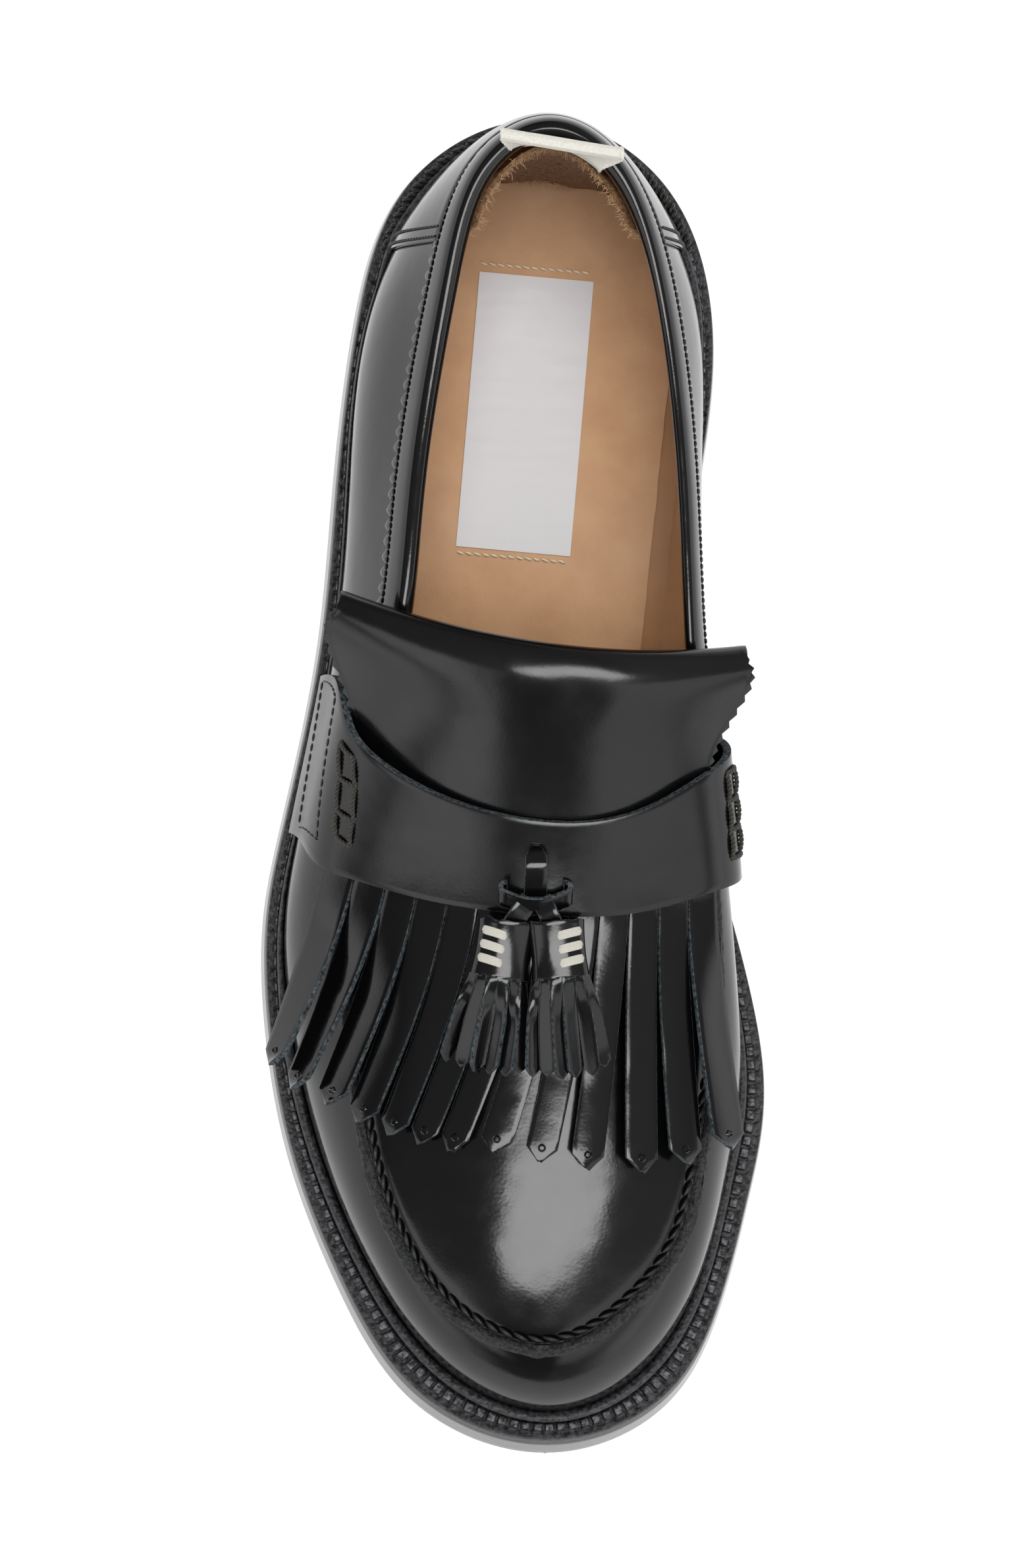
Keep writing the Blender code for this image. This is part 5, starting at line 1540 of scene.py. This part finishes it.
# %% Whipped lace
LADDERS = (
    (((0.215, 0.14), (0.252, 0.12)), ((0.231, 0.33), (0.263, 0.29)),
     ((0.238, 0.54), (0.269, 0.54)), ((0.244, 0.71), (0.269, 0.75))),
    (((0.80, 0.12), (0.765, 0.10)), ((0.80, 0.34), (0.765, 0.33)),
     ((0.80, 0.57), (0.765, 0.56)), ((0.80, 0.79), (0.765, 0.79))),
)
LACE_STEPS = 14
lace_rise = np.sin(np.linspace(0, np.pi, LACE_STEPS)) ** 0.6 * 0.75 - 0.2
cord_strands = []
for rungs in LADDERS:
    runs = list(rungs)
    for side in (0, 1):
        runs += [(rung[side], following[side]) for rung, following in zip(rungs, rungs[1:])]
    for ends in runs:
        line, up = strap_run(ends, LACE_STEPS)
        cord_strands += plies(line + up * lace_rise[:, None], radius=0.27, pitch=1.9)
cords = threads("strap_whip_cord", cord_strands, 0.34, LACE)
keep(cords, "polished_leather")

# %% [markdown]
# ## Tassels
# Each tassel is a fringed strip of leather that is rolled up tight, so its head is a flattened roll and its
# skirt two layers of pointed strips. Three bars of off-white silk are sewn across each head. A flat thong
# comes through the strap, is knotted into a bow and ends in the two heads.

# %% Places of the tassels
Tassel = namedtuple("Tassel", "name head_at head_out hem_at hem_out hem_width")

TASSELS = (
    Tassel("tassel_outer", 183.7, -8.9, 216.5, -14.3, 21.0),
    Tassel("tassel_inner", 183.7, 1.5, 217.5, 5.0, 21.0),
)
HEAD_LENGTH = 12.6
HEAD_WIDTH = 12.7
HEAD_DEPTH = 6.6
HEAD_CLEAR = 0.4
FRINGE_RISE = 0.8
FRINGE_TOP = KILTIE[-1].lift + FRINGE_RISE + TRIM + GAP


def fringe_top(plan):
    """Height just over the fringe, where the tassels lie."""
    return kiltie_height(plan[..., 0], plan[..., 1], FRINGE_TOP, 0.0)


def tassel_axes(tassel):
    """Start of the head, and unit plan vectors along and across the tassel."""
    head = np.array([tassel.head_out, tassel.head_at])
    ahead = unit(np.array([tassel.hem_out, tassel.hem_at]) - head)
    return head, ahead, np.array([ahead[1], -ahead[0]])


print("tassels:", [tassel.name for tassel in TASSELS])

# %% Rolled heads
HEAD_TURNS = 1.45
HEAD_STEPS = 120


def head_table(tassel):
    """Spiral roll along the head, a little waisted at its middle and ragged at its top."""
    head, ahead, aside = tassel_axes(tassel)
    angle = np.linspace(-0.5 * np.pi - 2 * np.pi * HEAD_TURNS, -0.5 * np.pi, HEAD_STEPS)
    size = np.interp(np.linspace(0, 1, HEAD_STEPS), (0, 0.31, 0.36, 1), (0.42, 0.80, 0.985, 1.0))
    ragged_top = rough(HEAD_STEPS, 4, 0.22)
    rows = []
    for along in np.linspace(0, HEAD_LENGTH, 16):
        share = along / HEAD_LENGTH
        girth = 1.0 - 0.05 * np.sin(np.pi * share) + 0.02 * smooth(share, 0.7, 1.0)
        reach = along + ragged_top * (1 - smooth(share, 0, 0.15))
        side = np.cos(angle) * size * girth * HEAD_WIDTH / 2
        plan = head + ahead * reach[:, None] + aside * side[:, None]
        middle = fringe_top(head + ahead * along) + HEAD_CLEAR + HEAD_DEPTH / 2
        rows.append(np.column_stack([plan, middle + np.sin(angle) * size * girth * HEAD_DEPTH / 2]))
    return np.array(rows)


for tassel in TASSELS:
    roll_piece = sheet(f"{tassel.name}_head", head_table(tassel), [CALF, EDGE])
    thicken(roll_piece, 0.8, edge=0.12)
    lower_half = world((0.0, tassel.head_at + HEAD_LENGTH / 2, 0.0))[1]
    for polygon in roll_piece.data.polygons:
        if polygon.center.y < lower_half:
            polygon.material_index = 0
    keep(roll_piece, "polished_leather", tassel.name)

# %% Skirts of strips
Layer = namedtuple("Layer", "strips girth drop reach width")

LAYERS = (
    Layer(6, 1.01, 1.6, 1.0, 3.5),
    Layer(6, 0.74, 0.2, 0.985, 3.6),
)
SKIRT_POINT = 0.075
ROOT_OVERLAP = 0.5
FALL_START = smooth(0.0, -0.25, 1.2)
FALL_END = smooth(1.0, -0.25, 1.2)


def skirt_strip(tassel, layer, spread):
    """One strip from the head's surface to its point: it leaves the roll, flattens and twists a little."""
    head, ahead, aside = tassel_axes(tassel)
    lie = spread * 1.3
    start_at = head + ahead * (HEAD_LENGTH - ROOT_OVERLAP)
    root = start_at + aside * np.sin(lie) * HEAD_WIDTH / 2 * layer.girth
    root_height = fringe_top(start_at) + HEAD_CLEAR + HEAD_DEPTH / 2 * (1 + np.cos(lie) * layer.girth)
    hem = np.array([tassel.hem_out, tassel.hem_at]) + aside * spread * tassel.hem_width * 0.46
    hem = head + (hem - head) * (layer.reach + RANDOM.uniform(-0.015, 0.015)) - ahead * 2.4 * spread ** 2
    hem_height = fringe_top(hem) + layer.drop + RANDOM.uniform(0.0, 0.7)
    lean = unit(hem - root)
    over_strip = np.array([lean[1], -lean[0]])
    over_strip = over_strip if np.dot(over_strip, aside) > 0 else -over_strip
    twist = np.radians(RANDOM.choice((-1, 1)) * RANDOM.uniform(10, 48))
    rows = []
    for share in np.concatenate([np.linspace(0, 1 - SKIRT_POINT, 13), [1 - SKIRT_POINT * 0.5, 1.0]]):
        point = min(1.0, (1.0 - share) / SKIRT_POINT + 0.06)
        half = layer.width / 2 * mixed(0.72, 1.0, smooth(share, 0, 0.6)) * point
        x = np.linspace(-half, half, 5)
        turned = mixed(-lie * 0.8, twist, smooth(share, 0.0, 0.45))
        middle = mixed(root, hem, share)
        fallen = (smooth(share, -0.25, 1.2) - FALL_START) / (FALL_END - FALL_START)
        height = mixed(root_height, hem_height, fallen)
        plan = middle + over_strip * (x * np.cos(turned))[:, None]
        rows.append(np.column_stack([plan, height + x * np.sin(turned)]))
    return np.array(rows)


for tassel in TASSELS:
    skirt = []
    for layer in LAYERS:
        for number in range(layer.strips):
            spread = (number + 0.5) / layer.strips * 2 - 1 + RANDOM.uniform(-0.04, 0.04)
            table = skirt_strip(tassel, layer, spread)
            strip = sheet(f"{tassel.name}_strip", table, [CALF, EDGE], towards=(0, 0, 1))
            thicken(strip, 1.05, edge=0.12)
            skirt.append(strip)
    keep(join(f"{tassel.name}_skirt", skirt), "polished_leather")

# %% Silk bars on the heads
BAR_STATIONS = (2.9, 5.9, 8.9)
BAR_LENGTH = 5.6
BAR_STRANDS = 6
STRAND_PITCH = 0.3
BAR_OUT = 2.6
BAR_SLANT = -0.16
middle_strand = (BAR_STRANDS - 1) / 2
bars = []
for tassel, side in zip(TASSELS, (1, -1)):
    head, ahead, aside = tassel_axes(tassel)
    outer_side = aside * (1 if aside[0] * side < 0 else -1)
    for along in BAR_STATIONS:
        for strand in range(BAR_STRANDS):
            from_middle = strand - middle_strand
            edge_share = abs(from_middle) / middle_strand
            x = np.linspace(-0.5, 0.5, 9) * (BAR_LENGTH - 0.6 * edge_share)
            offset = BAR_OUT + x
            forward = along + from_middle * STRAND_PITCH + x * BAR_SLANT
            plan = head + ahead * forward[:, None] + outer_side * offset[:, None]
            rounding = np.sqrt(np.clip(1 - (offset / (HEAD_WIDTH / 2)) ** 2, 0.02, 1))
            base = fringe_top(head + ahead * along) + HEAD_CLEAR + HEAD_DEPTH / 2 * (1 + rounding * 0.97)
            puff = 0.45 * (1 - (2 * x / BAR_LENGTH) ** 2) * (1 - 0.35 * edge_share)
            bars.append(np.column_stack([plan, base + puff + 0.05]))
silk = threads("tassel_silk_bars", bars, 0.24, SILK)
keep(silk, "ribbon")

# %% Thong, loop and bow
TIE_STATION = 176.0
TIE_OUT = -3.0
BOW_HALF = 6.3
BOW_DIP = 1.6
HOOK = 0.8
THONG_LEATHER = 1.1
LOOP_BACK = 168.0
LOOP_FRONT = 178.5
LOOP_STEPS = 25
BOW_AT = 178.4
THONG_STEPS = 14


def strap_top(out, at):
    """Height just over the middle of the strap."""
    return apron(out, at) + STRAP[len(STRAP) // 2].lift + STRAP_LEATHER + GAP


def band(name, middle, width_vector, width):
    """Flat thong along a line of points, its width along a vector at each point."""
    widths = np.broadcast_to(width, (len(middle),))
    offsets = np.linspace(-0.5, 0.5, 5)[None, :, None] * widths[:, None, None]
    table = middle[:, None, :] + unit(width_vector)[:, None, :] * offsets
    piece = sheet(name, table, [CALF, EDGE], towards=(0, 0, 1))
    thicken(piece, THONG_LEATHER, side=1, edge=0.12)
    return piece


tie_base = strap_top(TIE_OUT, TIE_STATION)
share = np.linspace(0, 1, LOOP_STEPS)
loop_at = mixed(LOOP_BACK, LOOP_FRONT, share)
loop_height = strap_top(TIE_OUT, loop_at) - 0.6 + 3.2 * np.sin(np.pi * share ** 0.7) ** 0.8
loop_width = 4.6 * np.sqrt(np.minimum(1.0, 0.08 + share * 5)) * mixed(1.0, 1.12, share)
loop_line = np.column_stack([np.full(LOOP_STEPS, TIE_OUT), loop_at, loop_height])
tie_parts = [band("tie_loop", loop_line, np.tile((1.0, 0.0, 0.0), (LOOP_STEPS, 1)), loop_width)]
arc = np.linspace(-1, 1, LOOP_STEPS)
curl = np.radians(np.linspace(75, -100, 12))
hook = np.column_stack([BOW_HALF + HOOK * np.cos(curl), HOOK * (np.sin(curl) - 1)])
smile = np.column_stack([BOW_HALF * arc, BOW_DIP * (1 - arc ** 2)])
bow_plan = np.vstack([(hook * (-1, 1))[::-1], smile, hook])
bow_height = np.full(len(bow_plan), tie_base + 0.9)
bow_line = np.column_stack([TIE_OUT + bow_plan[:, 0], BOW_AT + bow_plan[:, 1], bow_height])
upright = np.tile((0.0, 0.78, -0.62), (len(bow_plan), 1))
tie_parts.append(band("tie_bow", bow_line, upright, 4.2))
for tassel, side in zip(TASSELS, (-1.0, 1.0)):
    head, ahead, _ = tassel_axes(tassel)
    ending = head + ahead * 2.0
    share = np.linspace(0, 1, THONG_STEPS)
    plan = mixed(np.array([TIE_OUT + side * 1.4, TIE_STATION + 2.6]), ending, share[:, None])
    drop = fringe_top(ending) + HEAD_DEPTH * 0.5
    height = mixed(tie_base + 0.6, drop, share) + 0.9 * np.sin(np.pi * share)
    lie = unit(plan[-1] - plan[0])
    tilt = np.tile((lie[1], -lie[0], 0.3 * side), (THONG_STEPS, 1))
    tie_parts.append(band("tie_thong", np.column_stack([plan, height]), tilt, 4.4))
tie = join("tassel_tie_bow", tie_parts)
keep(tie, "polished_leather", "tassel_tie")

# %% [markdown]
# ## Pull loop
# A short grosgrain ribbon is folded double and sewn inside the back of the collar, so that from above one
# looks down on its fold. It is plain off-white. Its ribs run across the ribbon, and its two edges are corded.

# %% Ribbon
RIBBON_WIDTH = 26.0
RIBBON_OUT = 1.6
RIBBON_AT = 15.7
RIBBON_TWIST = 0.16
RIBBON_TOP = 98.0
RIBBON_FOOT = 88.0
RIBBON_OPEN = 2.2
SEWN_OUT = 0.4
SEWN_HALF = 9.8
SEWN_AHEAD = 3.0
RIB = 0.55
RIBBON_STEPS = 97
RIBBON_COLUMNS = 41
back_turns = np.linspace(-0.08, 0.08, 120)
behind = wall(back_turns, 1.0) - wall_normal(back_turns, 1.0) * 4.6
behind = behind[np.argsort(behind[:, 0])]


def ribbon_section(share):
    """Line round the ribbon at a share of its width: up one leg, over the fold, down the other."""
    fold_out, sewn_out = RIBBON_OUT + RIBBON_WIDTH / 2 * share, SEWN_OUT + SEWN_HALF * share
    rim_height = np.interp(sewn_out, behind[:, 0], behind[:, 2])
    fold = RIBBON_AT + RIBBON_TWIST * fold_out
    sewn_at = fold - 1.6 + SEWN_AHEAD * np.abs(share) ** 2.5
    half = RIBBON_OPEN / 2
    line = np.array([
        (sewn_out, sewn_at, RIBBON_FOOT), (sewn_out, sewn_at, rim_height + 2.4),
        (fold_out, fold - half, RIBBON_TOP - 1.5), (fold_out, fold - half * 0.7, RIBBON_TOP - 0.4),
        (fold_out, fold, RIBBON_TOP),
        (fold_out, fold + half * 0.7, RIBBON_TOP - 0.4), (fold_out, fold + half, RIBBON_TOP - 1.5),
        (sewn_out, sewn_at + 0.9, rim_height + 2.4), (sewn_out, sewn_at + 0.9, RIBBON_FOOT),
    ])
    return along_line(line, np.linspace(0, walk(line)[-1], RIBBON_STEPS))


ribbon_table = np.array([ribbon_section(share) for share in np.linspace(-1, 1, RIBBON_COLUMNS)])
around_fold = unit(np.gradient(ribbon_table, axis=1))
level_share = np.zeros(around_fold.shape[:2])
ribbon_normal = np.stack([level_share, -around_fold[..., 2], around_fold[..., 1]], axis=-1)
ribbon_length = np.linspace(0, walk(ribbon_table[RIBBON_COLUMNS // 2])[-1], RIBBON_STEPS)
rib_wave = np.abs(np.sin(np.pi * ribbon_length / RIB / 2))
ribbon_table = ribbon_table + ribbon_normal * (0.16 * rib_wave)[None, :, None]
ribbon = sheet("pull_loop_ribbon", ribbon_table, [RIBBON_CLOTH])
thicken(ribbon, 0.45, side=0)
selvedge = []
for edge_row in (ribbon_table[0], ribbon_table[-1]):
    selvedge += plies(edge_row, radius=0.2, pitch=1.3)
cording = threads("pull_loop_cording", selvedge, 0.34, RIBBON_CLOTH)
keep(join("pull_loop_ribbon", [ribbon, cording]), "ribbon", "pull_loop", angle=60)

# %% [markdown]
# ## Studio
# The photograph is taken from nearly straight above on a white table, so the floor is a large white sheet.
# Black leather shows what surrounds it. The surround is painted with a pale horizon at both sides, two panels
# towards the toe and a dim ceiling. One soft box overhead only lights, and a round one only shows in
# reflections.

# %% Floor
FLOOR_SIZE = 6.0
FLOOR_PLACE = (0, -0.11, 0)
bpy.ops.object.select_all(action="DESELECT")
bpy.ops.mesh.primitive_plane_add(size=FLOOR_SIZE, location=FLOOR_PLACE)
floor = bpy.context.object
floor.name = "white_table"
lit = {"Specular_IOR_Level": 0.0, "Emission_Color": (1, 1, 1, 1), "Emission_Strength": 0.95}
paper = start("lit_white_table", "6e6e6e", 0.9, **lit)[0]
floor.data.materials.append(paper)
print("table:", FLOOR_SIZE, "m wide")

# %% Steps of the surround
STEP = "SOFT_STEP"
STEP_SOCKETS = ("Value", "From Min", "From Max", "To Min", "To Max")
STEP_SETTINGS = {"interpolation_type": "SMOOTHSTEP"}
SURROUND = (
    ("beside", "ABSOLUTE", "x"),
    ("above", "MAXIMUM", "z", 0.02),
    ("aside_of_top", "DIVIDE", "beside", "above"),
    ("across_top", "DIVIDE", "x", "above"),
    ("to_toe", "MULTIPLY", "y", -1.0),
    ("ahead_of_top", "DIVIDE", "to_toe", "above"),
    ("both_sides", STEP, "beside", 0.3, 0.75, 0.05, 1.1),
    ("outer_side", STEP, "x", -0.1, 0.1, 1.15, 1.0),
    ("sides", "MULTIPLY", "both_sides", "outer_side"),
    ("low", STEP, "z", 0.1, 0.36, 1.0, 0.0),
    ("horizon", "MULTIPLY", "sides", "low"),
    ("near_ahead", "MINIMUM", "ahead_of_top", 1.6),
    ("drift", "SUBTRACT", "near_ahead", 0.6),
    ("leftwards", "MULTIPLY", "across_top", -1.0),
    ("left_drift", "MULTIPLY", "drift", 0.35),
    ("left_side", "SUBTRACT", "leftwards", "left_drift"),
    ("right_drift", "MULTIPLY", "drift", 0.12),
    ("right_side", "SUBTRACT", "across_top", "right_drift"),
    ("left_panel", STEP, "left_side", 0.34, 0.85, 0.0, 1.4),
    ("right_panel", STEP, "right_side", 0.10, 0.38, 0.0, 0.88),
    ("both_panels", "ADD", "left_panel", "right_panel"),
    ("panel_sides", STEP, "aside_of_top", 1.9, 2.8, 1.0, 0.0),
    ("panel_start", STEP, "ahead_of_top", 0.49, 0.64, 0.0, 1.0),
    ("panel_end", STEP, "ahead_of_top", 2.0, 3.4, 1.0, 0.0),
    ("panels_cut", "MULTIPLY", "both_panels", "panel_sides"),
    ("panels_begun", "MULTIPLY", "panels_cut", "panel_start"),
    ("panels", "MULTIPLY", "panels_begun", "panel_end"),
    ("overhead", STEP, "z", 0.3, 0.8, 0.12, 0.24),
    ("inner_overhead", STEP, "across_top", 0.25, 0.6, 0.0, 0.15),
    ("ceiling", "ADD", "overhead", "inner_overhead"),
    ("pale", "ADD", "horizon", "ceiling"),
    ("level", "ADD", "pale", "panels"),
)
print("steps of the surround:", len(SURROUND))

# %% Surround
surround = bpy.data.worlds.new("pale_studio")
bpy.context.scene.world = surround
surround.use_nodes = True
sky = surround.node_tree
for old in list(sky.nodes):
    sky.nodes.remove(old)
direction = add(sky, "ShaderNodeTexCoord").outputs["Generated"]
axes = add(sky, "ShaderNodeSeparateXYZ", None, {"Vector": direction})
levels = {name.lower(): axes.outputs[name] for name in "XYZ"}
for name, operation, *inputs in SURROUND:
    values = [levels[value] if isinstance(value, str) else value for value in inputs]
    if operation == STEP:
        node = add(sky, "ShaderNodeMapRange", STEP_SETTINGS, dict(zip(STEP_SOCKETS, values)))
    else:
        node = add(sky, "ShaderNodeMath", {"operation": operation}, dict(enumerate(values)))
    levels[name] = node.outputs[0]
glow = add(sky, "ShaderNodeBackground", None, {"Color": (1, 1, 1, 1), "Strength": levels["level"]})
add(sky, "ShaderNodeOutputWorld", None, {"Surface": glow.outputs["Background"]})
print("nodes of the surround:", len(sky.nodes))

# %% Soft boxes
SoftBox = namedtuple("SoftBox", "name shape place aim size radiance mirrored")

SOFT_BOXES = (
    SoftBox("ceiling_fill", "RECTANGLE", (0.1, 0.1, 3.0), (0.0, -0.1, 0.0), (1.8, 2.4), 5.2, False),
    SoftBox("round_box", "ELLIPSE", (0.22, -1.1, 2.9), (0.0, -0.24, 0.06), (2.3, 0.95), 7.4, True),
)
for box in SOFT_BOXES:
    light = bpy.data.lights.new(box.name, "AREA")
    light.shape = box.shape
    light.size, light.size_y = box.size
    area = box.size[0] * box.size[1] * (np.pi / 4 if box.shape == "ELLIPSE" else 1)
    light.energy = box.radiance * np.pi * area
    lamp = bpy.data.objects.new(box.name, light)
    bpy.context.scene.collection.objects.link(lamp)
    lamp.location = box.place
    towards_shoe = Vector(box.aim) - Vector(box.place)
    lamp.rotation_euler = towards_shoe.to_track_quat("-Z", "Y").to_euler()
    lamp.visible_glossy = box.mirrored
    lamp.visible_diffuse = not box.mirrored
bpy.context.scene.view_settings.view_transform = "Standard"
print("soft boxes:", len(SOFT_BOXES))

# %% [markdown]
# ## Camera
# The camera stands far above the shoe, a few degrees towards the toe and the outer side, with a long lens
# whose frame is as high as the photograph.

# %% Camera
AIM = Vector((-0.0066, -0.112, 0.030))
TILT_TO_TOE = np.radians(5.0)
TILT_TO_SIDE = np.radians(2.5)
DISTANCE = 2.4
PHOTO_HEIGHT = 2380
PIXELS_PER_MM = 6.815
FRAME_HEIGHT = PHOTO_HEIGHT / PIXELS_PER_MM * MM
view = bpy.data.cameras.new("photo_camera")
view.sensor_width = 36.0
view.lens = view.sensor_width * DISTANCE / FRAME_HEIGHT
camera = bpy.data.objects.new("photo_camera", view)
bpy.context.scene.collection.objects.link(camera)
backward = Vector((-np.tan(TILT_TO_SIDE), -np.tan(TILT_TO_TOE), 1.0)).normalized()
right = Vector((0, 1, 0)).cross(backward).normalized()
upward = backward.cross(right)
turned = Matrix((right, upward, backward)).transposed().to_4x4()
camera.matrix_world = Matrix.Translation(AIM + backward * DISTANCE) @ turned
bpy.context.scene.camera = camera
print("lens", round(view.lens, 1), "mm")
